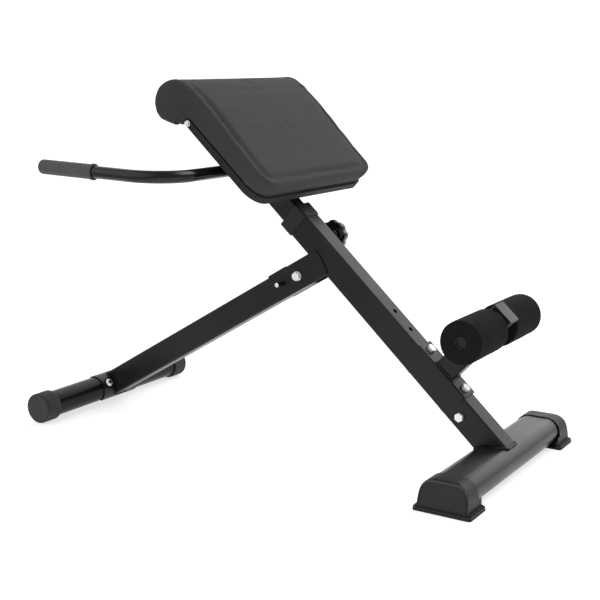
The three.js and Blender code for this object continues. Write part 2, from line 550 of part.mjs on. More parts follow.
// ------------------------------------------------------------------ seat post
{
  const tube = barX(ring(POST_W, POST_H, POST_R, POST_WALL, 3), -POST_TOP, -POST_BOTTOM);
  const holes = [];
  for (let i = -5; i <= 1; i++) holes.push(cylY(5, 5, 40, -PIN_S + i * -HOLE_PITCH, 0, 14));
  for (const s of BRACKET_S) holes.push(cylZ(4.4, 10, 40, -s, 0, 14));
  add(beam, 'seat_post', cut(tube, ...holes.map((h) => h)), STEEL);
  const head = barX(roundRect(POST_W, POST_H, POST_R, 3), -POST_TOP - 3, -POST_TOP - 0.2);
  const spigot = barX(roundRect(POST_W - 4.6, POST_H - 4.6, 2, 3), -POST_TOP - 1, -POST_TOP + 14);
  add(beam, 'seat_post_plug', join(head, spigot), PLASTIC);
}
const BR_N0 = POST_H / 2 + CLEAR;
for (const [i, tag] of [[0, 'lower'], [1, 'upper']]) {
  // channel bracket across the post, flanges down on the post face
  const s = BRACKET_S[i];
  const H = BOARD_N0 - 0.3 - BR_N0;
  const top = prism(roundRect(32, 270, 4, 3), 2.5);
  top.translate(-s, 0, BR_N0 + H - 2.5);
  const sideOutline = (x0) => {
    // (y, z) outline of a side flange: tall in the middle, tapering outward
    const shape = new THREE.Shape([[-135, H - 2], [-135, H - 9], [-40, 0], [40, 0], [135, H - 9], [135, H - 2]].map(([y, z]) => new THREE.Vector2(y, z)));
    const g = barX(shape, x0, x0 + 2.5);
    g.translate(0, 0, BR_N0);
    return g;
  };
  const g = cut(join(top, sideOutline(-s - 16), sideOutline(-s + 13.5)),
    ...[-1, 1].map((k) => cylZ(3.4, 0, 90, -s, k * 105, 16)));
  add(beam, `pad_bracket_${tag}`, g, STEEL);
  for (const [k, side] of [[-1, 'near'], [1, 'far']]) {
    const screw = hexBolt(11, 4, 3, 13, 8, 1.2, 0.2);
    screw.rotateX(Math.PI);
    screw.translate(-s, k * 105, BOARD_N0 - 0.3 - 2.5 - 0.2);
    add(beam, `pad_screw_${tag}_${side}`, screw, ZINC);
  }
}
{
  // padded board: rounded at the front corners, square at the back
  const outline = [];
  const r = PAD_CORNER;
  const n = 8;
  outline.push([-BOARD_TO, -PAD_HALF + 1.5]);
  for (let i = 0; i <= n; i++) { const a = rad(-90 + (90 * i) / n); outline.push([-PAD_FROM - r + r * Math.cos(a), -PAD_HALF + 1.5 + r + r * Math.sin(a)]); }
  for (let i = 0; i <= n; i++) { const a = rad((90 * i) / n); outline.push([-PAD_FROM - r + r * Math.cos(a), PAD_HALF - 1.5 - r + r * Math.sin(a)]); }
  outline.push([-BOARD_TO, PAD_HALF - 1.5]);
  const shape = new THREE.Shape(outline.map(([x, y]) => new THREE.Vector2(x, y)));
  const body = prism(shape, BOARD_N1 - BOARD_N0 - 0.4);
  body.translate(0, 0, BOARD_N0);
  const holes = [];
  for (const s of BRACKET_S) for (const k of [-1, 1]) holes.push(cylZ(3.3, BOARD_N0 - 5, BOARD_N0 + 11, -s, k * 105, 16));
  for (const k of [-1, 1]) holes.push(cylY(3.3, k > 0 ? PAD_HALF - 28 : -PAD_HALF - 5, k > 0 ? PAD_HALF + 5 : -PAD_HALF + 28, -898, 66, 16));
  add(beam, 'pad_board', cut(body, ...holes), VINYL);
  for (const [k, tag] of [[-1, 'near'], [1, 'far']]) {
    const screw = hexBolt(10, 3.4, 3, 22, 6.6, 1.2, 0.2);
    if (k < 0) faceNear(screw); else faceFar(screw);
    screw.translate(-898, k * (PAD_HALF - 1.5 + CLEAR), 66);
    add(beam, `board_bolt_${tag}`, screw, ZINC);
  }
}
{
  // cushion: a flat slab that rolls over into a thick round nose, softened edges
  const side = (inset) => {
    const pts = [];
    const R = PAD_NOSE_R - inset;
    pts.push([-PAD_FROM - inset, BOARD_N1 + inset * 0.35]);
    pts.push([-PAD_FROM - inset * 0.9, PAD_NOSE_N + PAD_NOSE_R - 16]);
    for (let i = 0; i <= 5; i++) { const a = rad(90 * i / 5); pts.push([-PAD_FROM - 16 + (16 - inset) * Math.cos(a), PAD_NOSE_N + PAD_NOSE_R - 16 + (16 - inset) * Math.sin(a)]); }
    for (let i = 0; i <= 20; i++) { const a = rad(90 + (268 - 90) * i / 20); pts.push([-PAD_NOSE_S + R * Math.cos(a), PAD_NOSE_N + R * Math.sin(a)]); }
    pts.push([-BOARD_TO - 1.0 - inset * 0.6, BOARD_N0 - 8 + inset]);
    pts.push([-BOARD_TO - 1.0, BOARD_N0 + inset * 0.2]);
    pts.push([-BOARD_TO - 1.0, BOARD_N1 + 0.1 * inset]);
    return pts;
  };
  // rounded front corners come from intersecting with the plan outline
  const plan = (grow) => {
    const r = PAD_CORNER;
    const n = 8;
    const o = [];
    const h = PAD_HALF + grow;
    o.push([-PAD_NOSE_S - PAD_NOSE_R - 10, -h]);
    for (let i = 0; i <= n; i++) { const a = rad(-90 + (90 * i) / n); o.push([-PAD_FROM - r + r * Math.cos(a), -h + r + r * Math.sin(a)]); }
    for (let i = 0; i <= n; i++) { const a = rad((90 * i) / n); o.push([-PAD_FROM - r + r * Math.cos(a), h - r + r * Math.sin(a)]); }
    o.push([-PAD_NOSE_S - PAD_NOSE_R - 10, h]);
    const g = prism(new THREE.Shape(o.map(([x, y]) => new THREE.Vector2(x, y))), 200);
    g.translate(0, 0, -20);
    return g;
  };
  let m = null;
  for (const [inset, back] of [[8, 0], [3.6, 1.2], [1.1, 4], [0, 9]]) {
    const s = solid(slabY(side(inset), -PAD_HALF + back, PAD_HALF - back));
    m = m ? m.add(s) : s;
  }
  m = m.intersect(solid(plan(0)));
  add(beam, 'pad_cushion', surface(m), VINYL);
}

// -------------------------------------------------------------------- handle
{
  // built in the root frame: cross bar along Y, bent forward to two level grips
  const a = rad(BEAM_TILT);
  const cx = BEAM_FOOT[0] - HANDLE_S * Math.cos(a) + HANDLE_N * Math.sin(a);
  const cz = BEAM_FOOT[1] + HANDLE_S * Math.sin(a) + HANDLE_N * Math.cos(a);
  const t = rad(HANDLE_TILT);
  const g1 = new THREE.Vector3(-Math.cos(t), 0, Math.sin(t));
  const path = new THREE.CurvePath();
  const at = (y) => new THREE.Vector3(cx, y, cz);
  class Bend extends THREE.Curve {
    constructor(start, u, v, flip) { super(); this.start = start; this.u = u; this.v = v; this.flip = flip; }
    getPoint(k, target = new THREE.Vector3()) {
      const q = this.flip ? 1 - k : k;
      const ang = (Math.PI / 2) * q;
      return target.copy(this.start)
        .addScaledVector(this.u, HANDLE_BEND * Math.sin(ang))
        .addScaledVector(this.v, HANDLE_BEND * (1 - Math.cos(ang)));
    }
  }
  const yS = HANDLE_Y - HANDLE_BEND;
  const nearStart = at(-yS);
  const farStart = at(yS);
  const nearEnd = new THREE.Vector3().copy(nearStart).addScaledVector(new THREE.Vector3(0, -1, 0), HANDLE_BEND).addScaledVector(g1, HANDLE_BEND);
  const farEnd = new THREE.Vector3().copy(farStart).addScaledVector(new THREE.Vector3(0, 1, 0), HANDLE_BEND).addScaledVector(g1, HANDLE_BEND);
  const straight = HANDLE_REACH - HANDLE_BEND;
  const nearTip = nearEnd.clone().addScaledVector(g1, straight);
  const farTip = farEnd.clone().addScaledVector(g1, straight);
  // sample the whole centre line and sweep a ring along it
  const line = [];
  const N = 7;
  line.push(nearTip, nearEnd);
  const nb = new Bend(nearStart, new THREE.Vector3(0, -1, 0), g1, true);
  for (let i = 1; i <= N; i++) line.push(nb.getPoint(i / N));
  const fb = new Bend(farStart, new THREE.Vector3(0, 1, 0), g1, false);
  for (let i = 0; i <= N; i++) line.push(fb.getPoint(i / N));
  line.push(farTip);
  const rings = [];
  const seg = 20;
  const normal = new THREE.Vector3().crossVectors(new THREE.Vector3(0, 1, 0), g1).normalize();
  for (let i = 0; i < line.length; i++) {
    const prev = line[Math.max(i - 1, 0)];
    const next = line[Math.min(i + 1, line.length - 1)];
    const d1 = line[i].clone().sub(prev).normalize();
    const d2 = next.clone().sub(line[i]).normalize();
    const tan = (i === 0 ? d2 : i === line.length - 1 ? d1 : d1.clone().add(d2)).normalize();
    const bi = new THREE.Vector3().crossVectors(tan, normal).normalize();
    const c = i > 0 && i < line.length - 1 ? 1 / Math.sqrt((1 + d1.dot(d2)) / 2) : 1;
    rings.push([line[i], bi.multiplyScalar(c)]);
  }
  // closed sweep of an n-sided circle along the centre line
  const sweep = (r, sides, overrun) => {
    const pos = [];
    const idx = [];
    const n = rings.length;
    for (let i = 0; i < n; i++) {
      const [p, b] = rings[i];
      const q = p.clone();
      if (i === 0) q.addScaledVector(g1, overrun);
      if (i === n - 1) q.addScaledVector(g1, overrun);
      for (let k = 0; k < sides; k++) {
        const w = (2 * Math.PI * k) / sides;
        const v = q.clone().addScaledVector(b, r * Math.cos(w)).addScaledVector(normal, r * Math.sin(w));
        pos.push(v.x, v.y, v.z);
      }
    }
    const flat = [];
    for (let i = 0; i < n - 1; i++) {
      for (let k = 0; k < sides; k++) {
        const k2 = (k + 1) % sides;
        const A = i * sides + k, B = i * sides + k2, C = (i + 1) * sides + k2, D = (i + 1) * sides + k;
        flat.push([A, B, C], [A, C, D]);
      }
    }
    for (let k = 1; k < sides - 1; k++) {
      flat.push([0, k + 1, k]);
      const L = (n - 1) * sides;
      flat.push([L, L + k, L + k + 1]);
    }
    const make = (flip) => {
      const g = new THREE.BufferGeometry();
      g.setAttribute('position', new THREE.BufferAttribute(new Float32Array(pos), 3));
      g.setIndex(flat.flatMap(([A, B, C]) => (flip ? [A, C, B] : [A, B, C])));
      return solid(g);
    };
    const m = make(false);
    return m.volume() > 0 ? m : make(true);
  };
  add(root, 'handle_bar', surface(sweep(HANDLE_R, 20, 0).subtract(sweep(HANDLE_R - 1.8, 12, 2))), STEEL);

  for (const [tip, end, tag] of [[nearTip, nearEnd, 'near'], [farTip, farEnd, 'far']]) {
    // grip: closed-end sleeve with a thicker ring at its inner end
    const prof = [[0, -4], [GRIP_R - 4, -4], [GRIP_R - 1.2, -2.6], [GRIP_R, 0.6], [GRIP_R, GRIP_L - 6], [GRIP_R + 1.6, GRIP_L - 5.4],
      [GRIP_R + 1.6, GRIP_L], [HANDLE_R + 0.25, GRIP_L], [HANDLE_R + 0.25, -0.4], [0, -0.4]];
    const lathe = new THREE.LatheGeometry(prof.map(([x, y]) => new THREE.Vector2(x, y)), 24);
    // local +Y of the lathe runs from the tip back along the tube
    const dir = end.clone().sub(tip).normalize();
    lathe.applyQuaternion(new THREE.Quaternion().setFromUnitVectors(new THREE.Vector3(0, 1, 0), dir));
    lathe.translate(tip.x, tip.y, tip.z);
    let gm = solid(lathe);
    add(root, `handle_grip_${tag}`, surface(gm), RUBBER);
  }
}

export default chair;
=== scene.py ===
"""Looks of a 45 degree roman chair (hyperextension bench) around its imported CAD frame."""
import bpy
import bmesh
import math
from mathutils import Matrix, Vector, noise


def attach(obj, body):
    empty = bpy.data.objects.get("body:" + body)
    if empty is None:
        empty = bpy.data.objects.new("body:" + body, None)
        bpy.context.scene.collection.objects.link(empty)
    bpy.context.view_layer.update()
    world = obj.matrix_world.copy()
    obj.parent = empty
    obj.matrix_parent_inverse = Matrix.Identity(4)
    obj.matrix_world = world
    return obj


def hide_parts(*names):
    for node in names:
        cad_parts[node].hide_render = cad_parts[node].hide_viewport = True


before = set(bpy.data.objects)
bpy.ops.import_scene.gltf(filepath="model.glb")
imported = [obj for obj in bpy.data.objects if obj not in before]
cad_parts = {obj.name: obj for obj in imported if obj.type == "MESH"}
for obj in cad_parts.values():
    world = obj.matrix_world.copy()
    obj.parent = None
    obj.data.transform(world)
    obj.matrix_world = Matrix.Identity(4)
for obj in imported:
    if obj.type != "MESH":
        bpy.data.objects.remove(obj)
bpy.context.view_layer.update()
SC = bpy.context.scene
MM = 0.001
rad = math.radians


# ------------------------------------------------------------------ camera
def make_camera():
    cam = bpy.data.cameras.new("studio_camera")
    ob = bpy.data.objects.new("studio_camera", cam)
    SC.collection.objects.link(ob)
    r = Vector((0.8420724, 0.539336, -0.0055405))
    u = Vector((-0.1040948, 0.1725866, 0.9794785))
    w = Vector((-0.5292242, 0.8242151, -0.2014725))
    ob.matrix_world = Matrix(((r.x, u.x, -w.x, 1.364438), (r.y, u.y, -w.y, -2.076041),
                              (r.z, u.z, -w.z, 0.815886), (0, 0, 0, 1)))
    cam.lens = 68.61016
    cam.sensor_width = 36
    cam.clip_start = 0.05
    cam.clip_end = 60
    SC.camera = ob


make_camera()

# ----------------------------------------------------------- shared dimensions (mm)
SHIFT = 531
BEAM_TILT, BEAM_FOOT = 42.76, (1045.7, 41.6)
BEAM_H, BEAM_W, BEAM_WALL, BEAM_R, BEAM_TOP = 59, 48, 2, 5, 656
POST_H, POST_W, POST_WALL, POST_R, POST_BOTTOM, POST_TOP = 49, 38, 2, 4, 440, 900
COLLAR_FROM, COLLAR_TO, COLLAR_WALL = 641, 675, 3
CLEAR = 0.3
FOOT_X, FOOT_Z, FOOT_W, FOOT_H, FOOT_WALL, FOOT_HALF = 1039.8, 33.3, 95, 56, 2, 246
BOOT_L, BOOT_OUT, BOOT_IN = 120, 268.8, 197
REAR_Z, REAR_R, REAR_WALL, REAR_HALF = 35, 30, 2, 250
CAP_R, CAP_OUT, CAP_IN = 35, 256, 213
LEG_TILT, PIVOT = 30.26, (573, 367.3)
LEG_H, LEG_W, LEG_WALL, LEG_R, LEG_TO_REAR, LOCK_A, LOCK_N = 58, 48, 2, 5, 662.2, -43, 2
PLATE_T = 2.5
SADDLE_T, SADDLE_HALF, SADDLE_BOLT_Y = 2.5, 62, 42
PIN_S, KNOB_R, KNOB_Y = 598, 34, 38
ROLLER_S, ROLLER_N, FOAM_R, FOAM_OUT, FOAM_IN, AXLE_R = 195.7, 171.3, 43.7, 152.8, 22, 12.7
RPOST_W, RPOST_L, RPOST_S, RPOST_TOP = 40, 48, 198.2, 215
ROLLER_BOLT_S = (146, 253)
FREE_HOLE_S = (312.8, 363.6)
PAD_FROM, NOSE_S, NOSE_N, NOSE_R, PAD_HALF, PAD_CORNER = 671, 953.7, 73.8, 44.8, 217, 43
BOARD_N0, BOARD_N1, BOARD_TO = 59, 74.4, 905
BRACKET_S = (716, 846)
HANDLE_S, HANDLE_N, HANDLE_R, HANDLE_Y, HANDLE_BEND, HANDLE_TILT, HANDLE_REACH = 786, 37.5, 12.7, 375.6, 86.5, 2, 315
GRIP_R, GRIP_L = 15.2, 140
PLATE_N = BEAM_H / 2 + CLEAR

ROOT = Matrix.Translation((-SHIFT * MM, 0, 0))
BEAM = Matrix.Translation(((BEAM_FOOT[0] - SHIFT) * MM, 0, BEAM_FOOT[1] * MM)) @ Matrix.Rotation(rad(BEAM_TILT), 4, "Y")
LEG = Matrix.Translation(((PIVOT[0] - SHIFT) * MM, 0, PIVOT[1] * MM)) @ Matrix.Rotation(rad(-LEG_TILT), 4, "Y")
REAR_LOCAL = LEG.inverted() @ Vector((-SHIFT * MM, 0, REAR_Z * MM)) / MM


# ---------------------------------------------------------------- mesh building
# A "solid" here is a (points, faces) pair in millimetres in a local frame.
def rrect(w, h, r, n=8):
    pts = []
    for cx, cy, a0 in ((w / 2 - r, h / 2 - r, 0), (-w / 2 + r, h / 2 - r, 90), (-w / 2 + r, -h / 2 + r, 180), (w / 2 - r, -h / 2 + r, 270)):
        for i in range(n + 1):
            a = rad(a0 + 90 * i / n)
            pts.append((cx + r * math.cos(a), cy + r * math.sin(a)))
    return pts


def oval(w, h, grow=0, n=28):
    r, f = h / 2 + grow, (w - h) / 2
    pts = [(f + r * math.cos(rad(-90 + 180 * i / n)), r * math.sin(rad(-90 + 180 * i / n))) for i in range(n + 1)]
    pts += [(-f + r * math.cos(rad(90 + 180 * i / n)), r * math.sin(rad(90 + 180 * i / n))) for i in range(n + 1)]
    return [(x + FOOT_X, z + FOOT_Z) for x, z in pts]


def circle(r, n=48, cx=0, cy=0):
    return [(cx + r * math.cos(2 * math.pi * i / n), cy + r * math.sin(2 * math.pi * i / n)) for i in range(n)]


def loft(rings, closed=False):
    n, m = len(rings[0]), len(rings)
    pts = [tuple(p) for r in rings for p in r]
    faces = []
    for i in range(m if closed else m - 1):
        a, b = i * n, ((i + 1) % m) * n
        for k in range(n):
            k2 = (k + 1) % n
            faces.append((a + k, a + k2, b + k2, b + k))
    if not closed:
        faces.append(tuple(reversed(range(n))))
        faces.append(tuple(range((m - 1) * n, m * n)))
    return pts, faces


def bar(section, x0, x1):
    """(y, z) section extruded along x"""
    return loft([[(x, y, z) for y, z in section] for x in (x0, x1)])


def tube_bar(outer, inner, x0, x1):
    return loft([[(x0, y, z) for y, z in outer], [(x1, y, z) for y, z in outer],
                 [(x1, y, z) for y, z in inner], [(x0, y, z) for y, z in inner]], True)


def slab(outline, y0, y1):
    """(x, z) outline extruded along y"""
    return loft([[(x, y, z) for x, z in outline] for y in (y0, y1)])


def plate(outline, z0, z1):
    """(x, y) outline extruded along z"""
    return loft([[(x, y, z) for x, y in outline] for z in (z0, z1)])


def box(x0, x1, y0, y1, z0, z1):
    return slab([(x0, z0), (x1, z0), (x1, z1), (x0, z1)], y0, y1)


def cyl(axis, r, a0, a1, c1, c2, n=48):
    """cylinder along an axis; c1, c2 are the centre on the other two axes in x, y, z order"""
    rings = []
    for a in (a0, a1):
        ring = []
        for u, v in circle(r, n):
            p = {"x": (a, c1 + u, c2 + v), "y": (c1 + u, a, c2 + v), "z": (c1 + u, c2 + v, a)}[axis]
            ring.append(p)
        rings.append(ring)
    return loft(rings)


def lathe(profile, n=64, wave=None):
    """closed solid of revolution about y; profile is (radius, y) from axis to axis, or a closed band when it starts off the axis"""
    on_axis = profile[0][0] < 1e-6
    prof = profile[1:-1] if on_axis else profile
    rings = []
    for j, (r, y) in enumerate(prof):
        ring = []
        for i in range(n):
            a = 2 * math.pi * i / n
            q = r + (wave(a, y, r) if wave else 0)
            ring.append((q * math.cos(a), y, q * math.sin(a)))
        rings.append(ring)
    if not on_axis:
        return loft(rings, True)
    pts, faces = loft(rings)
    faces = faces[:-2]
    m = len(rings)
    c0, c1 = len(pts), len(pts) + 1
    pts += [(0, profile[0][1], 0), (0, profile[-1][1], 0)]
    for k in range(n):
        k2 = (k + 1) % n
        faces.append((c0, k2, k))
        faces.append((c1, (m - 1) * n + k, (m - 1) * n + k2))
    return pts, faces


def move(solid, x=0, y=0, z=0):
    return [(p[0] + x, p[1] + y, p[2] + z) for p in solid[0]], solid[1]


def turn(solid, matrix):
    return [tuple(matrix @ Vector(p)) for p in solid[0]], solid[1]


def to_mesh(solid, name="m"):
    me = bpy.data.meshes.new(name)
    me.from_pydata([tuple(p) for p in solid[0]], [], solid[1])
    bm = bmesh.new()
    bm.from_mesh(me)
    bmesh.ops.remove_doubles(bm, verts=bm.verts, dist=1e-5)
    bmesh.ops.recalc_face_normals(bm, faces=bm.faces)
    if bm.calc_volume(signed=True) < 0:
        bmesh.ops.reverse_faces(bm, faces=bm.faces)
    bm.to_mesh(me)
    bm.free()
    return me


def csg(base, cuts=(), adds=(), meets=()):
    """exact boolean of solids in mm: unions first, then intersections, then cuts"""
    temp = []

    def put(s):
        o = bpy.data.objects.new("csg_tmp", to_mesh(s) if isinstance(s, tuple) else s.copy())
        SC.collection.objects.link(o)
        temp.append(o)
        return o
    b = put(base)
    for kind, group in (("UNION", adds), ("INTERSECT", meets), ("DIFFERENCE", cuts)):
        for s in group:
            m = b.modifiers.new("b", "BOOLEAN")
            m.operation, m.solver, m.object = kind, "EXACT", put(s)
    bpy.context.view_layer.update()
    me = bpy.data.meshes.new_from_object(b.evaluated_get(bpy.context.evaluated_depsgraph_get()))
    for o in temp:
        bpy.data.objects.remove(o)
    return me


def as_solid(me):
    return [tuple(v.co) for v in me.vertices], [tuple(p.vertices) for p in me.polygons]


def piece(name, shape, local, body, nodes, material, bevel=0.5, seg=2, angle=34, smooth=40, weighted=True, sub=0):
    """shape (solid or mesh, mm, local frame) becomes an object in the row frame riding on a body"""
    me = to_mesh(shape) if isinstance(shape, tuple) else shape
    me.name = name
    me.transform(local @ Matrix.Diagonal((MM, MM, MM, 1)))
    bm = bmesh.new()
    bm.from_mesh(me)
    bmesh.ops.remove_doubles(bm, verts=bm.verts, dist=2e-6)
    bmesh.ops.dissolve_degenerate(bm, edges=bm.edges, dist=2e-6)
    bm.to_mesh(me)
    bm.free()
    me.shade_smooth()
    me.set_sharp_from_angle(angle=rad(smooth))
    o = bpy.data.objects.new(name, me)
    SC.collection.objects.link(o)
    if bevel:
        b = o.modifiers.new("edge", "BEVEL")
        b.width, b.segments, b.limit_method, b.angle_limit = bevel * MM, seg, "ANGLE", rad(angle)
        b.use_clamp_overlap = True
        b.miter_outer = "MITER_ARC"
    if sub:
        s = o.modifiers.new("sub", "SUBSURF")
        s.levels = s.render_levels = sub
    if weighted:
        wn = o.modifiers.new("wn", "WEIGHTED_NORMAL")
        wn.keep_sharp = not bevel
    me.materials.clear()
    me.materials.append(material)
    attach(o, body)
    if nodes:
        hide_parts(*([nodes] if isinstance(nodes, str) else nodes))
    return o


def keep(node, material, bevel=0.4, seg=2):
    """a CAD node that stays: softened edges by modifiers, and a material"""
    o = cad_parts[node]
    w = o.modifiers.new("weld", "WELD")
    w.merge_threshold = 0.00002
    d = o.modifiers.new("planar", "DECIMATE")
    d.decimate_type, d.angle_limit = "DISSOLVE", rad(1.0)
    if bevel:
        b = o.modifiers.new("edge", "BEVEL")
        b.width, b.segments, b.limit_method, b.angle_limit = bevel * MM, seg, "ANGLE", rad(34)
        b.use_clamp_overlap = True
    o.data.materials.clear()
    o.data.materials.append(material)
    o.data.shade_smooth()
    o.data.set_sharp_from_angle(angle=rad(40))
    wn = o.modifiers.new("wn", "WEIGHTED_NORMAL")
    wn.keep_sharp = not bevel
    return o


# ------------------------------------------------------------------- materials
class Graph:
    def __init__(self, name):
        self.m = bpy.data.materials.new(name)
        self.m.use_nodes = True
        self.t = self.m.node_tree
        self.t.nodes.clear()
        self.out = self.t.nodes.new("ShaderNodeOutputMaterial")
        self.bsdf = self.t.nodes.new("ShaderNodeBsdfPrincipled")
        self.t.links.new(self.bsdf.outputs[0], self.out.inputs[0])
        self.coord = self.t.nodes.new("ShaderNodeTexCoord").outputs["Object"]

    def node(self, kind, **kw):
        n = self.t.nodes.new(kind)
        for k, v in kw.items():
            setattr(n, k, v)
        return n

    def link(self, a, b):
        self.t.links.new(a, b)

    def noise(self, scale, detail=2.0, rough=0.5, stretch=None, distortion=0.0):
        n = self.node("ShaderNodeTexNoise")
        n.inputs["Scale"].default_value = scale
        n.inputs["Detail"].default_value = detail
        n.inputs["Roughness"].default_value = rough
        n.inputs["Distortion"].default_value = distortion
        self.link(self.mapped(stretch), n.inputs["Vector"])
        return n.outputs["Fac"]

    def mapped(self, stretch):
        if not stretch:
            return self.coord
        m = self.node("ShaderNodeMapping")
        m.inputs["Scale"].default_value = stretch[:3]
        if len(stretch) > 3:
            m.inputs["Rotation"].default_value = (0, rad(stretch[3]), 0)
        self.link(self.coord, m.inputs["Vector"])
        return m.outputs[0]

    def voronoi(self, scale, feature="F1", stretch=None, rand=1.0):
        n = self.node("ShaderNodeTexVoronoi", feature=feature)
        n.inputs["Scale"].default_value = scale
        n.inputs["Randomness"].default_value = rand
        self.link(self.mapped(stretch), n.inputs["Vector"])
        return n.outputs["Distance"]

    def ramp(self, src, lo, hi, a=0.0, b=1.0):
        n = self.node("ShaderNodeMapRange")
        n.clamp = True
        n.inputs["From Min"].default_value = lo
        n.inputs["From Max"].default_value = hi
        n.inputs["To Min"].default_value = a
        n.inputs["To Max"].default_value = b
        self.link(src, n.inputs["Value"])
        return n.outputs["Result"]

    def math(self, op, a, b):
        n = self.node("ShaderNodeMath", operation=op)
        for i, v in enumerate((a, b)):
            if isinstance(v, (int, float)):
                n.inputs[i].default_value = v
            else:
                self.link(v, n.inputs[i])
        return n.outputs[0]

    def mix(self, fac, a, b):
        n = self.node("ShaderNodeMix", data_type="RGBA")
        self.link(fac, n.inputs["Factor"])
        for sock, v in ((n.inputs[6], a), (n.inputs[7], b)):
            if isinstance(v, tuple):
                sock.default_value = (*v, 1)
            else:
                self.link(v, sock)
        return n.outputs[2]

    def bump(self, height, distance, strength=1.0, after=None):
        n = self.node("ShaderNodeBump")
        n.inputs["Distance"].default_value = distance
        n.inputs["Strength"].default_value = strength
        self.link(height, n.inputs["Height"])
        if after is not None:
            self.link(after, n.inputs["Normal"])
        return n.outputs[0]

    def edge(self, radius, lo=0.02, hi=0.25, samples=4):
        """0 on flats, 1 on convex or concave edges"""
        b = self.node("ShaderNodeBevel", samples=samples)
        b.inputs["Radius"].default_value = radius
        g = self.node("ShaderNodeNewGeometry")
        d = self.node("ShaderNodeVectorMath", operation="DOT_PRODUCT")
        self.link(b.outputs[0], d.inputs[0])
        self.link(g.outputs["Normal"], d.inputs[1])
        return self.ramp(self.math("SUBTRACT", 1.0, d.outputs["Value"]), lo, hi)

    def done(self, color=None, rough=None, normal=None, metallic=0.0, ior=1.5, spec=0.5, coat=0.0, coat_rough=0.1, sheen=0.0, aniso=0.0):
        p = self.bsdf.inputs
        for key, v in (("Base Color", color), ("Roughness", rough), ("Normal", normal)):
            if v is None:
                continue
            if isinstance(v, tuple):
                p[key].default_value = (*v, 1)
            elif isinstance(v, (int, float)):
                p[key].default_value = v
            else:
                self.link(v, p[key])
        p["Metallic"].default_value = metallic
        p["IOR"].default_value = ior
        p["Specular IOR Level"].default_value = spec
        p["Coat Weight"].default_value = coat
        p["Coat Roughness"].default_value = coat_rough
        p["Sheen Weight"].default_value = sheen
        p["Anisotropic"].default_value = aniso
        return self.m


def grey(v, warm=0.0):
    return (v * (1 + warm), v, v * (1 - warm * 0.6))


def powder(name, base=0.008, rough=0.33, wear=0.5, spec=0.26):
    g = Graph(name)
    blotch = g.noise(9, 3, 0.55)
    fine = g.noise(1500, 2, 0.6)
    grain = g.voronoi(1150, "F1")
    wear_mask = g.math("MULTIPLY", g.edge(0.0012), g.ramp(g.noise(160, 4, 0.7), 0.45, 0.75))
    col = g.mix(g.ramp(blotch, 0.3, 0.7), grey(base * 0.88, -0.01), grey(base * 1.15, 0.01))
    glint_fleck = g.noise(520, 2, 0.65)
    col = g.mix(g.ramp(fine, 0.62, 0.78, 0, 0.35), col, grey(base * 2.6))
    # lighter flecks mixed into the colour: painted glints that stand in for the sparkle off the coat's flake
    col = g.mix(g.ramp(glint_fleck, 0.6, 0.8, 0, 0.55), col, grey(base * 3.2))
    col = g.mix(g.math("MULTIPLY", wear_mask, wear), col, grey(0.075))
    r = g.math("ADD", g.ramp(blotch, 0.3, 0.7, rough - 0.04, rough + 0.05), g.ramp(fine, 0.3, 0.7, -0.03, 0.05))
    n = g.bump(g.noise(420, 2, 0.5), 0.00006, 0.35)
    n = g.bump(grain, 0.00004, 0.45, n)
    n = g.bump(fine, 0.00003, 0.6, n)
    n = g.bump(glint_fleck, 0.00012, 0.5, n)
    return g.done(col, r, n, spec=spec)


def moulded(name, base=0.010, rough=0.5, grain=900, depth=0.00004, coat=0.0):
    g = Graph(name)
    blotch = g.noise(14, 3, 0.5)
    fine = g.noise(grain, 3, 0.6)
    cells = g.voronoi(grain * 0.8, "F1")
    edge = g.edge(0.0010)
    col = g.mix(g.ramp(blotch, 0.35, 0.68), grey(base * 0.85), grey(base * 1.2))
    col = g.mix(g.math("MULTIPLY", edge, g.ramp(g.noise(220, 3, 0.7), 0.4, 0.8, 0, 0.5)), col, grey(base * 2.4))
    r = g.math("ADD", g.ramp(blotch, 0.3, 0.7, rough - 0.05, rough + 0.05), g.ramp(fine, 0.35, 0.7, -0.04, 0.05))
    n = g.bump(cells, depth, 0.5)
    n = g.bump(fine, depth * 0.7, 0.6, n)
    return g.done(col, r, n, spec=0.34, coat=coat)


def rubber(name, base=0.013, rough=0.5):
    g = Graph(name)
    blotch = g.noise(22, 4, 0.6)
    fine = g.noise(1300, 3, 0.65)
    dust = g.ramp(g.noise(55, 5, 0.7), 0.56, 0.78)
    edge = g.edge(0.0014)
    col = g.mix(g.ramp(blotch, 0.3, 0.72), grey(base * 0.8), grey(base * 1.3))
    col = g.mix(g.math("MULTIPLY", dust, 0.18), col, grey(0.09, 0.04))
    col = g.mix(g.math("MULTIPLY", edge, g.ramp(fine, 0.4, 0.7, 0, 0.4)), col, grey(base * 3))
    r = g.math("ADD", g.ramp(blotch, 0.3, 0.7, rough - 0.05, rough + 0.07), g.math("MULTIPLY", dust, 0.1))
    n = g.bump(g.noise(300, 3, 0.5), 0.00008, 0.3)
    n = g.bump(fine, 0.00005, 0.6, n)
    return g.done(col, r, n, spec=0.33)


def foam(name, base=0.013):
    g = Graph(name)
    cells = g.voronoi(900, "F1")
    small = g.voronoi(2100, "F1")
    blotch = g.noise(30, 4, 0.6)
    streak = g.noise(60, 3, 0.5, (1, 0.12, 1))
    pores = g.ramp(cells, 0.02, 0.22)
    col = g.mix(g.ramp(blotch, 0.3, 0.72), grey(base * 0.8), grey(base * 1.25))
    col = g.mix(g.ramp(streak, 0.45, 0.75, 0, 0.3), col, grey(base * 1.8))
    col = g.mix(pores, grey(base * 0.45), col)
    r = g.ramp(blotch, 0.3, 0.7, 0.78, 0.92)
    n = g.bump(g.noise(120, 3, 0.5), 0.00025, 0.3)
    n = g.bump(pores, 0.00008, 0.55, n)
    n = g.bump(small, 0.00005, 0.5, n)
    return g.done(col, r, n, spec=0.08, sheen=0.0)


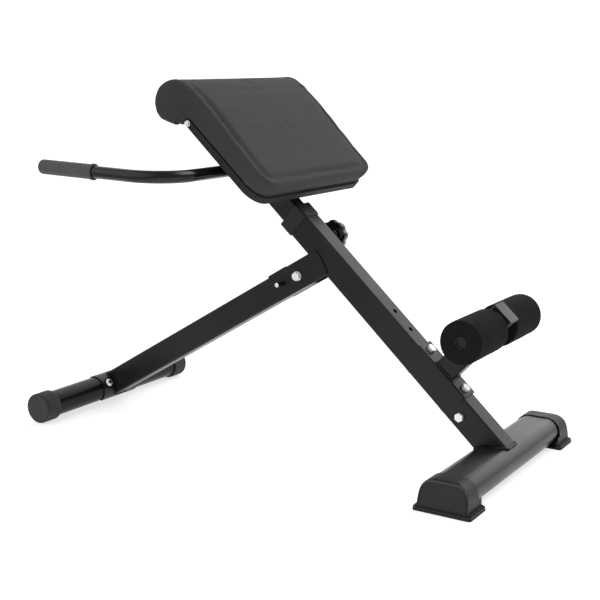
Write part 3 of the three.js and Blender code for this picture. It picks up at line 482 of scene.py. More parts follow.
def vinyl(name, base=0.054, rough=0.6, grain=760):
    g = Graph(name)
    cells = g.voronoi(grain, "DISTANCE_TO_EDGE")
    pebble = g.ramp(cells, 0.0, 0.12)
    fine = g.noise(2200, 2, 0.6)
    pull = g.noise(16, 3, 0.5)
    blotch = g.noise(6, 3, 0.5)
    edge = g.edge(0.0030, 0.01, 0.2)
    col = g.mix(g.ramp(blotch, 0.3, 0.7), grey(base * 0.9), grey(base * 1.14))
    col = g.mix(pebble, grey(base * 0.6), col)
    col = g.mix(g.math("MULTIPLY", edge, g.ramp(pull, 0.35, 0.7, 0.1, 0.45)), col, grey(base * 1.9))
    r = g.math("ADD", g.ramp(blotch, 0.3, 0.7, rough - 0.03, rough + 0.06), g.ramp(fine, 0.3, 0.7, -0.03, 0.04))
    r = g.math("ADD", r, g.ramp(pebble, 0, 1, 0.12, 0.0))
    n = g.bump(pull, 0.0006, 0.25)
    n = g.bump(pebble, 0.00010, 0.55, n)
    n = g.bump(fine, 0.00003, 0.5, n)
    return g.done(col, r, n, spec=0.1)


def zinc(name, base=0.9, rough=0.34):
    g = Graph(name)
    blotch = g.noise(140, 4, 0.6)
    spangle = g.voronoi(420, "F1")
    fine = g.noise(2600, 2, 0.5)
    edge = g.edge(0.0006)
    col = g.mix(g.ramp(blotch, 0.3, 0.7), (base * 0.9, base * 0.9, base * 0.88), (base * 1.12, base * 1.13, base * 1.16))
    col = g.mix(g.ramp(spangle, 0.0, 0.5, 0, 0.25), col, grey(base * 0.75))
    col = g.mix(g.math("MULTIPLY", edge, 0.5), col, grey(0.85))
    r = g.math("ADD", g.ramp(blotch, 0.3, 0.7, rough - 0.07, rough + 0.1), g.ramp(fine, 0.3, 0.7, -0.03, 0.05))
    n = g.bump(fine, 0.00002, 0.5)
    return g.done(col, r, n, metallic=0.5)


def gloss(name, base=0.004, rough=0.1):
    g = Graph(name)
    haze = g.noise(40, 4, 0.6)
    scratch = g.noise(300, 3, 0.6, (1, 6, 0.3))
    edge = g.edge(0.001)
    col = g.mix(g.ramp(haze, 0.3, 0.7), grey(base), grey(base * 1.6))
    col = g.mix(g.math("MULTIPLY", edge, 0.2), col, grey(0.03))
    r = g.math("ADD", g.ramp(haze, 0.3, 0.7, rough, rough + 0.07), g.ramp(scratch, 0.6, 0.8, 0, 0.12))
    n = g.bump(g.noise(240, 2, 0.5), 0.00004, 0.2)
    return g.done(col, r, n, spec=0.5, coat=0.6, coat_rough=0.05)


M = {
    "powder": powder("powder_coat_black"),
    "foot": powder("foot_black", spec=0.38),
    "post": powder("post_black", base=0.009, rough=0.36, wear=0.6),
    "handle": powder("handle_black", base=0.004, rough=0.16, wear=0.3, spec=0.4),
    "rear": powder("rear_black", base=0.005, rough=0.2, wear=0.4, spec=0.16),
    "weld": powder("weld_black", base=0.014, rough=0.3, wear=0.9),
    "boot": rubber("boot_rubber", base=0.009),
    # lighter rubber laid on the boots' end-face lips: a painted highlight
    "lip": rubber("lip_highlight_rubber", base=0.045),
    "cap": rubber("cap_rubber", base=0.023, rough=0.56),
    "grip": rubber("grip_rubber", base=0.075, rough=0.6),
    "foam": foam("roller_foam", base=0.009),
    "vinyl": vinyl("pad_vinyl"),
    "wrap": vinyl("board_wrap", base=0.03, rough=0.5, grain=900),
    "plastic": moulded("black_plastic", rough=0.42),
    "dark": moulded("plug_plastic", base=0.006, rough=0.55),
    "zinc": zinc("zinc_plate"),
    "gloss": gloss("knob_plastic"),
}


# ------------------------------------------------------------------- fasteners
def hexagon(af, turn=0.0, n_side=1):
    R = af / math.sqrt(3)
    return [(R * math.cos(math.pi / 3 * i + turn), R * math.sin(math.pi / 3 * i + turn)) for i in range(6)]


def hex_head(af, h, shank_r, shank_l, turn=0.0, washer_r=0, washer_t=0):
    """bolt along +z with its underside at z = 0; chamfered hexagon head"""
    R = af / math.sqrt(3)
    body = plate(hexagon(af, turn), washer_t, washer_t + h)
    cone = turn_z(lathe([(0, washer_t - 1), (R * 1.3, washer_t - 1), (R * 1.3, washer_t + h - (R * 1.3 - R * 0.86) * 0.55), (R * 0.86, washer_t + h), (0, washer_t + h)], 72))
    head = csg(body, meets=[cone])
    adds = [cyl("z", shank_r, -shank_l, washer_t + 0.4, 0, 0, 32)]
    if washer_r:
        adds.append(turn_z(lathe([(0, 0), (washer_r, 0), (washer_r, washer_t * 0.7), (washer_r - 0.4, washer_t + 0.15), (0, washer_t + 0.15)], 64)))
    return csg(head, adds=adds)


def turn_z(solid):
    """y axis solid to z axis"""
    return [(x, -z, y) for x, y, z in solid[0]], [tuple(f) for f in solid[1]]


def hex_nut(af, h, bore, turn=0.0):
    R = af / math.sqrt(3)
    body = plate(hexagon(af, turn), 0, h)
    cone = turn_z(lathe([(0, -1), (R * 0.9, -1), (R * 1.3, 1.6), (R * 1.3, h - (R * 1.3 - R * 0.86) * 0.55), (R * 0.86, h), (0, h)], 72))
    return csg(body, meets=[cone], cuts=[cyl("z", bore, -2, h + 2, 0, 0, 32)])


NEAR = Matrix.Rotation(rad(90), 4, "X")      # +z to -y
FAR = Matrix.Rotation(rad(-90), 4, "X")      # +z to +y
FLIP = Matrix.Rotation(math.pi, 4, "X")
T = lambda x, y, z: Matrix.Translation((x, y, z))


def fastener(name, mesh, place, local, body, bevel=0.35):
    mesh.transform(place)
    return piece(name, mesh, local, body, name.replace("_look", ""), M["zinc"], bevel=bevel, seg=2, angle=25, smooth=30)


def in_mm(m):
    return Matrix.Diagonal((1000, 1000, 1000, 1)) @ m @ Matrix.Diagonal((MM, MM, MM, 1))


ROOT_TO_BEAM = in_mm(BEAM.inverted() @ ROOT)
BEAM_TO_ROOT = ROOT_TO_BEAM.inverted()
BEAM_TO_LEG = in_mm(LEG.inverted() @ BEAM)


def tube_y(outer, inner, y0, y1):
    return loft([[(x, y0, z) for x, z in outer], [(x, y1, z) for x, z in outer],
                 [(x, y1, z) for x, z in inner], [(x, y0, z) for x, z in inner]], True)


def mirror_y(shape):
    if isinstance(shape, tuple):
        return [(x, -y, z) for x, y, z in shape[0]], [tuple(reversed(f)) for f in shape[1]]
    me = shape.copy()
    me.transform(Matrix.Diagonal((1, -1, 1, 1)))
    me.flip_normals()
    return me


def sweep(path, radius, n=16, closed=False, squash_dir=None, squash_by=1.0):
    """round bar along a polyline; radius is a number or a function of the distance travelled"""
    pts = [Vector(p) for p in path]
    m = len(pts)
    tang = []
    for i in range(m):
        a, b = pts[(i - 1) % m if closed else max(i - 1, 0)], pts[(i + 1) % m if closed else min(i + 1, m - 1)]
        tang.append((b - a).normalized())
    up = Vector((0, 0, 1)) if abs(tang[0].z) < 0.9 else Vector((1, 0, 0))
    nrm = (up - tang[0] * up.dot(tang[0])).normalized()
    rings, dist = [], 0.0
    for i in range(m):
        if i:
            dist += (pts[i] - pts[i - 1]).length
            nrm = (nrm - tang[i] * nrm.dot(tang[i])).normalized()
        bi = tang[i].cross(nrm)
        r = radius(dist) if callable(radius) else radius
        ring = []
        for k in range(n):
            a = 2 * math.pi * k / n
            ring.append(tuple(pts[i] + (nrm * math.cos(a) + bi * math.sin(a)) * r))
        rings.append(ring)
    return loft(rings, closed)


def resample(path, step, closed=False):
    pts = [Vector(p) for p in path] + ([Vector(path[0])] if closed else [])
    seg = [(pts[i + 1] - pts[i]).length for i in range(len(pts) - 1)]
    total = sum(seg)
    count = max(3, int(round(total / step)))
    out, i, acc = [], 0, 0.0
    for k in range(count + (0 if closed else 1)):
        d = total * k / count
        while i < len(seg) - 1 and acc + seg[i] < d:
            acc += seg[i]
            i += 1
        out.append(pts[i].lerp(pts[i + 1], min(1, (d - acc) / max(seg[i], 1e-9))))
    return out


def bead(name, path, local, body, r=2.4, closed=True, nodes=(), pitch=3.1, seed=0.0):
    """weld bead: overlapping scallops laid along a line"""
    line = resample(path, 0.62, closed)
    wobble = lambda d: 0.35 * noise.noise(Vector((d * 0.07 + seed, 3.1 + seed, 0.4)))
    def radius(d):
        f = (d / pitch) % 1.0
        return r * (0.80 + 0.22 * math.sqrt(max(0.0, 1 - (2 * f - 0.9) ** 2 * 0.9))) * (1 + wobble(d) * 0.25)
    o = piece(name, sweep(line, radius, 14, closed), local, body, nodes, M["weld"], bevel=0, smooth=70, weighted=False)
    return o


def spline(points, n=6):
    """smooth open curve through points"""
    out = []
    P = [points[0]] + list(points) + [points[-1]]
    for i in range(1, len(P) - 2):
        p0, p1, p2, p3 = (Vector(P[i + k]) for k in (-1, 0, 1, 2))
        for k in range(n):
            t = k / n
            out.append(tuple(0.5 * ((2 * p1) + (p2 - p0) * t + (2 * p0 - 5 * p1 + 4 * p2 - p3) * t * t + (3 * p1 - p0 - 3 * p2 + p3) * t ** 3)))
    out.append(tuple(points[-1]))
    return out


# ------------------------------------------------------------------- front foot
piece("front_base_tube_look", tube_y(oval(FOOT_W, FOOT_H), oval(FOOT_W, FOOT_H, -FOOT_WALL), -FOOT_HALF, FOOT_HALF),
      ROOT, "frame", "front_base_tube", M["foot"], bevel=0.4)


def boot():
    half = spline([(52.2, 5), (51.9, 14), (51.6, 22), (50.6, 34), (48.2, 44), (43.6, 52), (37, 58), (28, 62), (18, 63.3), (8, 63.5), (0, 63.5)], 4)
    ring = half + [(-x, z) for x, z in reversed(half[:-1])]
    ring = [(FOOT_X + x, z) for x, z in ring]
    # side view of the body: leaning end face, rounded top edge, small raised rim at the mouth
    lean = [(-201.5, -1), (-201.5, 70), (-245.5, 70), (-246.2, 63.9), (-248.6, 63.0), (-250.6, 61.7), (-252.2, 59.6), (-253.3, 57.0), (-264.4, 10.5), (-264.6, -1)]
    body = csg(slab(ring, -264.6, -201.5), meets=[bar(lean, FOOT_X - 60, FOOT_X + 60)])
    yc = -(BOOT_OUT + BOOT_IN) / 2
    L, Wd = BOOT_L, BOOT_OUT - BOOT_IN

    def layer(grow, z0, z1, r=6):
        return move(plate(rrect(L + grow, Wd + grow, r, 8), z0, z1), FOOT_X, yc)
    sole = layer(0, 0.0, 3.3)
    neck = layer(-3.0, 3.0, 4.8)
    lip = layer(-0.8, 4.5, 7.6)
    step = layer(-6.0, 7.2, 10.2, 5)
    pocket = slab(oval(FOOT_W, FOOT_H, 0.2), -FOOT_HALF - 0.4, -190)
    cuts = [pocket, loft([[(x, y, z) for x, z in oval(FOOT_W, FOOT_H, g)] for y, g in ((-216.0, 0.25), (-212.0, 4.6), (-190.0, 5.2))])]
    for k in (-1, 1):
        # the moulding is hollow below the tube, with thin upright ribs
        xs = [10.0, 17.5, 25.0, 32.5, 40.0, 47.2]
        for i in range(5):
            a, b = xs[i] + 0.8, xs[i + 1] - 0.8
            x0, x1 = (FOOT_X + a, FOOT_X + b) if k > 0 else (FOOT_X - b, FOOT_X - a)
            cuts.append(box(x0, x1, -238, -190, 11.4, min(30.0, 14.0 + 4.2 * i)))
    # groove round the end face
    def panel(d):
        h = spline([(49.4, 11.5), (48.9, 22), (47.8, 32), (45.2, 41), (40.5, 49), (34.5, 54.2), (27, 57.2), (18, 58.6), (0, 59.0)], 3)
        h = [(x * (1 - d / 49.0), 11.5 + (z - 11.5) * (1 - d / 46.0)) for x, z in h]
        return [(FOOT_X + x, z) for x, z in h] + [(FOOT_X - x, z) for x, z in reversed(h[:-1])]
    lean_back = [(-262.7, 12.4), (-254.2, 49.0), (-262, 49.0), (-280, 49.0), (-280, 12.4)]
    skin = csg(slab(panel(0.0), -270, -240), meets=[bar(lean_back, FOOT_X - 60, FOOT_X + 60)], cuts=[slab(panel(2.1), -271, -239)])
    cuts.append(as_solid(skin))
    cuts.append(box(FOOT_X - 47, FOOT_X + 47, -211, -190, 3.4, 16))
    lip_line = [(FOOT_X + x, -264.75 + 0.2323 * (z - 10.5), z) for x, z in spline([(-46.6, 44), (-43.4, 50), (-38, 54.4), (-31, 57.0), (-22, 58.0), (22, 58.0), (31, 57.0), (38, 54.4), (43.4, 50), (46.6, 44)], 5)]
    lip_bead = sweep(lip_line, 1.15, 10)
    return csg(body, cuts=cuts, adds=[sole, neck, lip, step, lip_bead])


near_boot = boot()
far_boot = mirror_y(near_boot)
piece("front_boot_near_look", near_boot, ROOT, "frame", "front_boot_near", M["boot"], bevel=0.9, seg=3, angle=30, smooth=32)
piece("front_boot_far_look", far_boot, ROOT, "frame", "front_boot_far", M["boot"], bevel=0.9, seg=3, angle=30, smooth=32)


def paint(name, local, inside, material):
    """a second material on the faces of a piece whose middle, in mm in its own frame, passes the test"""
    me = bpy.data.objects[name].data
    me.materials.append(material)
    back = local.inverted()
    for poly in me.polygons:
        c = back @ poly.center * 1000
        if inside(c):
            poly.material_index = 1


# the raised lip over each end face is painted with a lighter rubber than the rest: a painted highlight along the lip
lip_highlight_line = [Vector((FOOT_X + x, -265.0 + 0.2323 * (z - 10.5), z)) for x, z in spline([(-46.6, 44), (-43.4, 50), (-38, 54.4), (-31, 57.0), (-22, 58.0), (22, 58.0), (31, 57.0), (38, 54.4), (43.4, 50), (46.6, 44)], 14)]
for k, tag in ((1, "near"), (-1, "far")):
    paint(f"front_boot_{tag}_look", ROOT, lambda c: c.y * k < -250 and c.z > 40 and min((Vector((c.x, c.y * k, c.z)) - q).length for q in lip_highlight_line) < 2.2, M["lip"])

# -------------------------------------------------------------------- main beam
foot_solid = lambda grow: turn(slab(oval(FOOT_W, FOOT_H, grow), -80, 80), ROOT_TO_BEAM)
below = turn(slab([(900, -200), (1200, -200), (1200, FOOT_Z), (900, FOOT_Z)], -80, 80), ROOT_TO_BEAM)


def hollow(w, h, r, wall, x0, x1, n=8):
    return tube_bar(rrect(w, h, r, n), rrect(w - 2 * wall, h - 2 * wall, max(r - wall, 0.6), n), x0, x1)


beam_mesh = csg(hollow(BEAM_W, BEAM_H, BEAM_R, BEAM_WALL, -BEAM_TOP, 14), cuts=[
    foot_solid(3.2), below, cyl("y", 5.4, -40, 40, -109, -5, 40),
    *[cyl("z", 5.4, -40, 40, -s, 0, 40) for s in ROLLER_BOLT_S],
    *[cyl("z", 5.4, 10, 40, -s, 0, 40) for s in FREE_HOLE_S],
    cyl("y", 8.6, 10, 40, -PIN_S, 0, 40)])
piece("main_beam_look", beam_mesh, BEAM, "frame", "main_beam", M["powder"], bevel=0.45)


def stadium(p):
    """distance of a root-frame point from the foot tube's skin"""
    f = (FOOT_W - FOOT_H) / 2
    dx = max(abs(p.x - FOOT_X) - f, 0)
    return math.hypot(dx, p.z - FOOT_Z) - FOOT_H / 2


def foot_line(grow, offset):
    """where the beam's outline, grown sideways, meets the foot tube"""
    line = []
    for y, z in rrect(BEAM_W + 2 * grow, BEAM_H + 2 * grow, BEAM_R + grow, 10):
        x = -130.0
        while x < 14 and stadium(BEAM_TO_ROOT @ Vector((x, y, z))) > offset:
            x += 0.25
        line.append((x, y, z))
    return [p for p in line if (BEAM_TO_ROOT @ Vector(p)).z > FOOT_Z - 1]


line = foot_line(0.2, 1.6)
# start the bead at the gap below the tube so that it is one open run
gap = max(range(len(line)), key=lambda i: (Vector(line[i]) - Vector(line[i - 1])).length)
line = line[gap:] + line[:gap]
bead("base_weld_look", line, BEAM, "frame", r=2.7, closed=(Vector(line[0]) - Vector(line[-1])).length < 8, nodes="base_weld", seed=1.0)

collar = csg(bar(rrect(BEAM_W + 6, BEAM_H + 6, 7, 8), -COLLAR_TO, -COLLAR_FROM), cuts=[
    bar(rrect(POST_W + 0.9, POST_H + 0.9, POST_R, 6), -COLLAR_TO - 1, -BEAM_TOP + 5),
    bar(rrect(BEAM_W + 0.4, BEAM_H + 0.4, BEAM_R, 6), -BEAM_TOP - 0.3, -COLLAR_FROM + 5)])
piece("beam_collar_look", collar, BEAM, "frame", "beam_collar", M["plastic"], bevel=1.5, seg=4)

# fasteners of the beam
fastener("base_bolt_look", hex_head(17, 6.4, 5, BEAM_W + 9, 0.2), T(-109, -BEAM_W / 2 - CLEAR, -5) @ NEAR, BEAM, "frame")
fastener("base_nut_look", hex_nut(17, 7.5, 5.2, 0.5), T(-109, BEAM_W / 2 + CLEAR, -5) @ FAR, BEAM, "frame")
for i, tag in enumerate(("lower", "upper")):
    fastener(f"roller_bolt_{tag}_look", hex_head(17, 6.4, 5, BEAM_H + 16, 0.15), T(-ROLLER_BOLT_S[i], 0, PLATE_N + 4 + CLEAR), BEAM, "frame")
    fastener(f"roller_nut_{tag}_look", hex_nut(17, 8, 5.2, 0.2), T(-ROLLER_BOLT_S[i], 0, -BEAM_H / 2 - CLEAR) @ FLIP, BEAM, "frame")

# ------------------------------------------------------------------ leg bracket
CHEEK_Y0 = LEG_W / 2 + 0.5
CHEEK_OUT = CHEEK_Y0 + PLATE_T
beam_gap = turn(bar(rrect(BEAM_W + 0.6, BEAM_H + 0.6, BEAM_R, 6), -BEAM_TOP, 60), BEAM_TO_LEG)
top_n = LEG_H / 2 + 0.6 + PLATE_T
cheek = spline([(-71, -27), (-66, -29.5)], 1) + [(58, -29.5)] + spline([(58, -29.5), (69, -27), (72.5, -18), (73.5, 0), (72.5, 18), (70, 29.8)], 5) + [(-71, 29.8)]
cheek_top = [(-71, 25), (-22, 25), (-20.3, 29), (-22, top_n), (-71, top_n)]
# one folded sheet: cheeks and bridge with bent corners
fold = [(-CHEEK_OUT, 20), (-CHEEK_Y0, 20), (-CHEEK_Y0, top_n - PLATE_T), (CHEEK_Y0, top_n - PLATE_T), (CHEEK_Y0, 20), (CHEEK_OUT, 20)]
r = 3.2
arc = [(CHEEK_OUT - r + r * math.cos(rad(a)), top_n - r + r * math.sin(rad(a))) for a in range(0, 91, 15)]
fold = fold + arc + [(-y, z) for y, z in reversed(arc)]
bracket = csg(slab(cheek, -CHEEK_OUT, -CHEEK_Y0), adds=[slab(cheek, CHEEK_Y0, CHEEK_OUT), bar(fold, -71, -22)],
              cuts=[beam_gap, cyl("y", 5.4, -60, 60, 0, 0, 40), cyl("y", 5.5, -60, 60, LOCK_A, LOCK_N, 40)])
piece("leg_bracket_look", bracket, LEG, "frame", "leg_bracket", M["powder"], bevel=0.5)

fastener("pivot_bolt_look", hex_head(17, 6.4, 5, 2 * CHEEK_OUT + 12, 0.1), T(0, -CHEEK_OUT - 1.9, 0) @ NEAR, LEG, "frame")
fastener("pivot_nut_look", hex_nut(17, 8.5, 5.2, 0.4), T(0, CHEEK_OUT + 1.9, 0) @ FAR, LEG, "frame")
for tag, y in (("near", -CHEEK_OUT - 1.7), ("far", CHEEK_OUT + 0.2)):
    w = csg(cyl("y", 10.5, y, y + 1.5, 0, 0, 64), cuts=[cyl("y", 5.3, y - 1, y + 3, 0, 0, 32)])
    piece(f"pivot_washer_{tag}_look", w, LEG, "frame", f"pivot_washer_{tag}", M["zinc"], bevel=0.3)

lock = move(lathe([(0, -51), (4.2, -51), (4.8, -50.7), (5.2, -50.0), (5.2, -47.5), (4.95, -47.1), (4.95, -46.2), (5.2, -45.8), (5.2, -25.4), (4.6, -24.7), (0, -24.7)], 64), LOCK_A, 0, LOCK_N)
piece("lock_bolt_look", lock, LEG, "frame", "lock_bolt", M["zinc"], bevel=0, smooth=35)
# the bolt's side faces, picked by their normals, take the black gloss material: painted shade beside its bright zinc
# end
shank = bpy.data.objects["lock_bolt_look"].data
shank.materials.append(M["gloss"])
for poly in shank.polygons:
    if abs(poly.normal.y) < 0.6:
        poly.material_index = 1

# --------------------------------------------------------------------- rear leg
RX, RZ = REAR_LOCAL.x, REAR_LOCAL.z
round_end = as_solid(csg(box(0, 60, -40, 40, -40, 40), cuts=[cyl("y", LEG_H / 2, -41, 41, 0, 0, 96)]))
leg_mesh = csg(hollow(LEG_W, LEG_H, LEG_R, LEG_WALL, -LEG_TO_REAR + 20, 29), cuts=[
    round_end, cyl("y", REAR_R + SADDLE_T + 0.5, -60, 60, RX, RZ, 96),
    cyl("y", 5.4, -60, 60, 0, 0, 40), cyl("y", 5.5, -60, 60, LOCK_A, LOCK_N, 40)])
piece("leg_tube_look", leg_mesh, LEG, "rear_leg", "leg_tube", M["powder"], bevel=0.45)

saddle = csg(tube_y(circle(REAR_R + SADDLE_T + 0.2, 128, RX, RZ), circle(REAR_R + 0.2, 128, RX, RZ), -SADDLE_HALF, SADDLE_HALF),
             cuts=[box(RX - 80, RX + 1.5, -90, 90, RZ - 80, RZ + 80), *[cyl("x", 5.4, RX, RX + 60, k * SADDLE_BOLT_Y, RZ, 32) for k in (-1, 1)]])
piece("rear_saddle_look", saddle, LEG, "rear_leg", "rear_saddle", M["powder"], bevel=0.7, seg=3)

rear = csg(tube_y(circle(REAR_R, 128, RX, RZ), circle(REAR_R - REAR_WALL, 128, RX, RZ), -REAR_HALF, REAR_HALF),
           cuts=[cyl("x", 5.4, RX - 60, RX + 60, k * SADDLE_BOLT_Y, RZ, 32) for k in (-1, 1)])
piece("rear_cross_tube_look", rear, LEG, "rear_leg", "rear_cross_tube", M["rear"], bevel=0.4)

# weld between leg and saddle
line = []
for y, z in rrect(LEG_W + 0.4, LEG_H + 0.4, LEG_R, 10):
    dz = z - RZ
    Rr = REAR_R + SADDLE_T + 1.5
    if abs(dz) < Rr:
        line.append((RX + math.sqrt(Rr * Rr - dz * dz), y, z))
bead("saddle_weld", line, LEG, "rear_leg", r=2.3, closed=True, seed=5.0)


def rear_cap():
    a0 = -CAP_OUT
    ribs = 30

    def wave(a, y, r):
        if r < CAP_R - 1.2 or not (a0 + 7.5 < y < -CAP_IN + 1):
            return 0.0
        f = (a * ribs / (2 * math.pi)) % 1.0
        depth = 1.5 * min(1.0, (y - (a0 + 7.5)) / 2.0)
        return -depth * (0.5 - 0.5 * math.cos(2 * math.pi * f)) ** 1.6
    prof = [(0, a0 + 0.5), (CAP_R - 9, a0 + 0.4), (CAP_R - 5, a0), (CAP_R - 2.6, a0 + 0.15), (CAP_R - 1.2, a0 + 0.9), (CAP_R - 0.35, a0 + 2.2),
            (CAP_R, a0 + 3.8), (CAP_R, a0 + 5.6), (CAP_R - 0.9, a0 + 6.2), (CAP_R - 0.9, a0 + 7.2), (CAP_R, a0 + 8.0), (CAP_R, a0 + 10), (CAP_R, a0 + 14),
            (CAP_R, -CAP_IN - 9), (CAP_R, -CAP_IN - 2), (CAP_R - 0.3, -CAP_IN - 0.6), (CAP_R - 1.0, -CAP_IN),
            (REAR_R + 0.3, -CAP_IN), (REAR_R + 0.25, -REAR_HALF - 0.3), (0, -REAR_HALF - 0.3)]
    return move(lathe(prof, 30 * 12, wave), RX, 0, RZ)


near_cap = rear_cap()
piece("rear_cap_near_look", near_cap, LEG, "rear_leg", "rear_cap_near", M["cap"], bevel=0, smooth=50)
piece("rear_cap_far_look", mirror_y(near_cap), LEG, "rear_leg", "rear_cap_far", M["cap"], bevel=0, smooth=50)

for k, tag in ((-1, "near"), (1, "far")):
    head = turn_z(lathe([(0, 0), (9.2, 0), (9.2, 1.3), (8.9, 2.3), (8.0, 3.6), (6.6, 4.7), (5.2, 5.3), (4.6, 5.45), (0, 5.45)], 72))
    bolt = csg(head, adds=[cyl("z", 5, -2 * REAR_R - 14, 0.5, 0, 0, 32)],
               cuts=[plate([(4.9 * math.cos(math.pi / 3 * i), 4.9 * math.sin(math.pi / 3 * i)) for i in range(6)], 0.6, 9)])
    fastener(f"saddle_bolt_{tag}_look", bolt, T(RX + REAR_R + SADDLE_T + 0.6, k * SADDLE_BOLT_Y, RZ) @ Matrix.Rotation(rad(90), 4, "Y"), LEG, "rear_leg", 0.2)
    head_x = RX + REAR_R + SADDLE_T + 0.6
    # the inside of the hex socket takes the black gloss material: painted shade in the recess
    paint(f"saddle_bolt_{tag}_look", LEG, lambda c: c.x > head_x + 0.4 and math.hypot(c.y - k * SADDLE_BOLT_Y, c.z - RZ) < 4.6, M["gloss"])
    fastener(f"saddle_nut_{tag}_look", hex_nut(16, 8, 5.2, 0.3), T(RX - REAR_R - 0.6, k * SADDLE_BOLT_Y, RZ) @ Matrix.Rotation(rad(-90), 4, "Y"), LEG, "rear_leg")

# ----------------------------------------------------------------- pull-pin knob
W2 = BEAM_W / 2
ky = W2 + KNOB_Y


def lobes(a, y, r):
    if r < KNOB_R - 11:
        return 0.0
    t = min(1.0, (r - (KNOB_R - 11)) / 8)
    return -2.9 * t * (0.5 - 0.5 * math.cos(8 * a)) ** 1.5


knob = lathe([(0, W2 + 12), (11.2, W2 + 12), (12, W2 + 12.8), (12, ky - 3.5), (13.4, ky - 1.2), (16, ky - 0.1), (KNOB_R - 4.5, ky), (KNOB_R - 2, ky + 0.8), (KNOB_R - 0.5, ky + 2.6), (KNOB_R, ky + 5),
              (KNOB_R, ky + 12), (KNOB_R - 0.6, ky + 14.8), (KNOB_R - 2.4, ky + 17.0), (KNOB_R - 5, ky + 18.2), (KNOB_R - 8.2, ky + 18.8), (KNOB_R - 9.4, ky + 19.8), (KNOB_R - 11.5, ky + 20.7), (10, ky + 21), (0, ky + 21)], 240, lobes)
knob = csg(move(knob, -PIN_S, 0, 0), cuts=[cyl("y", 4.65, 0, W2 + 40.2, -PIN_S, 0, 32), cyl("y", 8.7, W2 + 6, W2 + 24.3, -PIN_S, 0, 48)])
piece("pull_knob_look", knob, BEAM, "plunger", "pull_knob", M["gloss"], bevel=0.3, angle=50, smooth=50)

# ---------------------------------------------------------------- ankle rollers
pn0, pn1 = PLATE_N, PLATE_N + 4
yo, yi, zb = BEAM_W / 2 + 2.5, BEAM_W / 2 + 0.5, BEAM_H / 2 - 9
r = 4.0
arc = [(yo - r + r * math.cos(rad(a)), pn1 - r + r * math.sin(rad(a))) for a in range(0, 91, 10)]
u_sec = [(-yo, zb), (-yi, zb), (-yi, pn0), (yi, pn0), (yi, zb), (yo, zb)] + arc + [(-y, z) for y, z in reversed(arc)]
rb = csg(bar(u_sec, -271, -130), cuts=[cyl("z", 5.4, 0, 60, -s, 0, 40) for s in ROLLER_BOLT_S])
piece("roller_bracket_look", rb, BEAM, "frame", "roller_bracket", M["powder"], bevel=0.6)

post = csg(move(turn(tube_bar(rrect(RPOST_W, RPOST_L, 4, 8), rrect(RPOST_W - 4, RPOST_L - 4, 2.2, 8), 0, RPOST_TOP - pn1 - CLEAR),
                     Matrix(((0, 0, -1, 0), (0, 1, 0, 0), (1, 0, 0, 0), (0, 0, 0, 1)))), -RPOST_S, 0, pn1 + CLEAR),
           cuts=[cyl("y", AXLE_R + 0.2, -40, 40, -ROLLER_S, ROLLER_N, 64)])
piece("roller_post_look", post, BEAM, "frame", "roller_post", M["powder"], bevel=0.45)
cap = csg(move(plate(rrect(RPOST_L, RPOST_W, 4, 8), 0, 2.4), -RPOST_S, 0, RPOST_TOP + 0.1),
          adds=[move(plate(rrect(RPOST_L - 4.6, RPOST_W - 4.6, 2, 6), -13, 1), -RPOST_S, 0, RPOST_TOP)])
piece("roller_post_cap_look", cap, BEAM, "frame", "roller_post_cap", M["plastic"], bevel=0.9, seg=3)
line = [(-RPOST_S + x, y, pn1 + 0.9) for x, y in rrect(RPOST_L + 2.2, RPOST_W + 2.2, 5, 8)]
bead("post_weld", line, BEAM, "frame", r=2.1, closed=True, seed=9.0)

axle = tube_y(circle(AXLE_R, 64, -ROLLER_S, ROLLER_N), circle(AXLE_R - 2, 64, -ROLLER_S, ROLLER_N), -150, 150)
piece("roller_axle_look", axle, BEAM, "frame", "roller_axle", M["powder"], bevel=0.3)
for k, tag in ((-1, "near"), (1, "far")):
    plug = lathe([(0, 138), (9.2, 138), (AXLE_R - 2.3, 139.5), (AXLE_R - 2.2, 150.2), (AXLE_R, 150.3), (AXLE_R, 151.3), (AXLE_R - 0.5, 151.8),
                  (AXLE_R - 1.8, 151.7), (AXLE_R - 2.6, 150.2), (AXLE_R - 3.1, 147.6), (AXLE_R - 4.2, 146.9), (4.5, 146.9), (4.0, 147.3), (0, 147.4)], 72)
    plug = move(plug if k > 0 else mirror_y(plug), -ROLLER_S, 0, ROLLER_N)
    piece(f"axle_plug_{tag}_look", plug, BEAM, "frame", f"axle_plug_{tag}", M["dark"], bevel=0, smooth=60)

    def skin(a, y, r, k=k):
        q = Vector((math.cos(a) * 1.3, y * 0.022 + 7 * k, math.sin(a) * 1.3))
        return (0.55 * noise.noise(q) + 0.16 * noise.noise(q * 4.5)) * min(1.0, max(0.0, (r - AXLE_R - 2) / 12))
    R, a, b = FOAM_R - 0.3, FOAM_IN, FOAM_OUT
    prof = [(AXLE_R + 0.9, a + 1.0), (AXLE_R + 2.2, a + 0.2)]
    prof += [(AXLE_R + 2.2 + (R - 3.6 - AXLE_R - 2.2) * t / 5, a) for t in range(1, 6)]
    prof += [(R - 3.4 + 3.4 * math.sin(rad(t)), a + 3.4 - 3.4 * math.cos(rad(t))) for t in range(15, 91, 15)]
    prof += [(R, a + 3.4 + (b - a - 6.8) * t / 22) for t in range(1, 22)]
    prof += [(R - 3.4 + 3.4 * math.cos(rad(t)), b - 3.4 + 3.4 * math.sin(rad(t))) for t in range(0, 91, 15)]
    prof += [(AXLE_R + 2.2 + (R - 3.6 - AXLE_R - 2.2) * t / 5, b - (0.0 if t else 0.1)) for t in range(5, -1, -1)]
    prof += [(AXLE_R + 0.9, b - 1.0), (AXLE_R + 0.7, b - 4), (AXLE_R + 0.7, a + 4)]
    tube = lathe(prof, 144, skin)
    tube = move(tube if k > 0 else mirror_y(tube), -ROLLER_S, 0, ROLLER_N)
    o = piece(f"foam_roller_{tag}_look", tube, BEAM, f"roller_{tag}", f"foam_roller_{tag}", M["foam"], bevel=0, smooth=60, weighted=False)

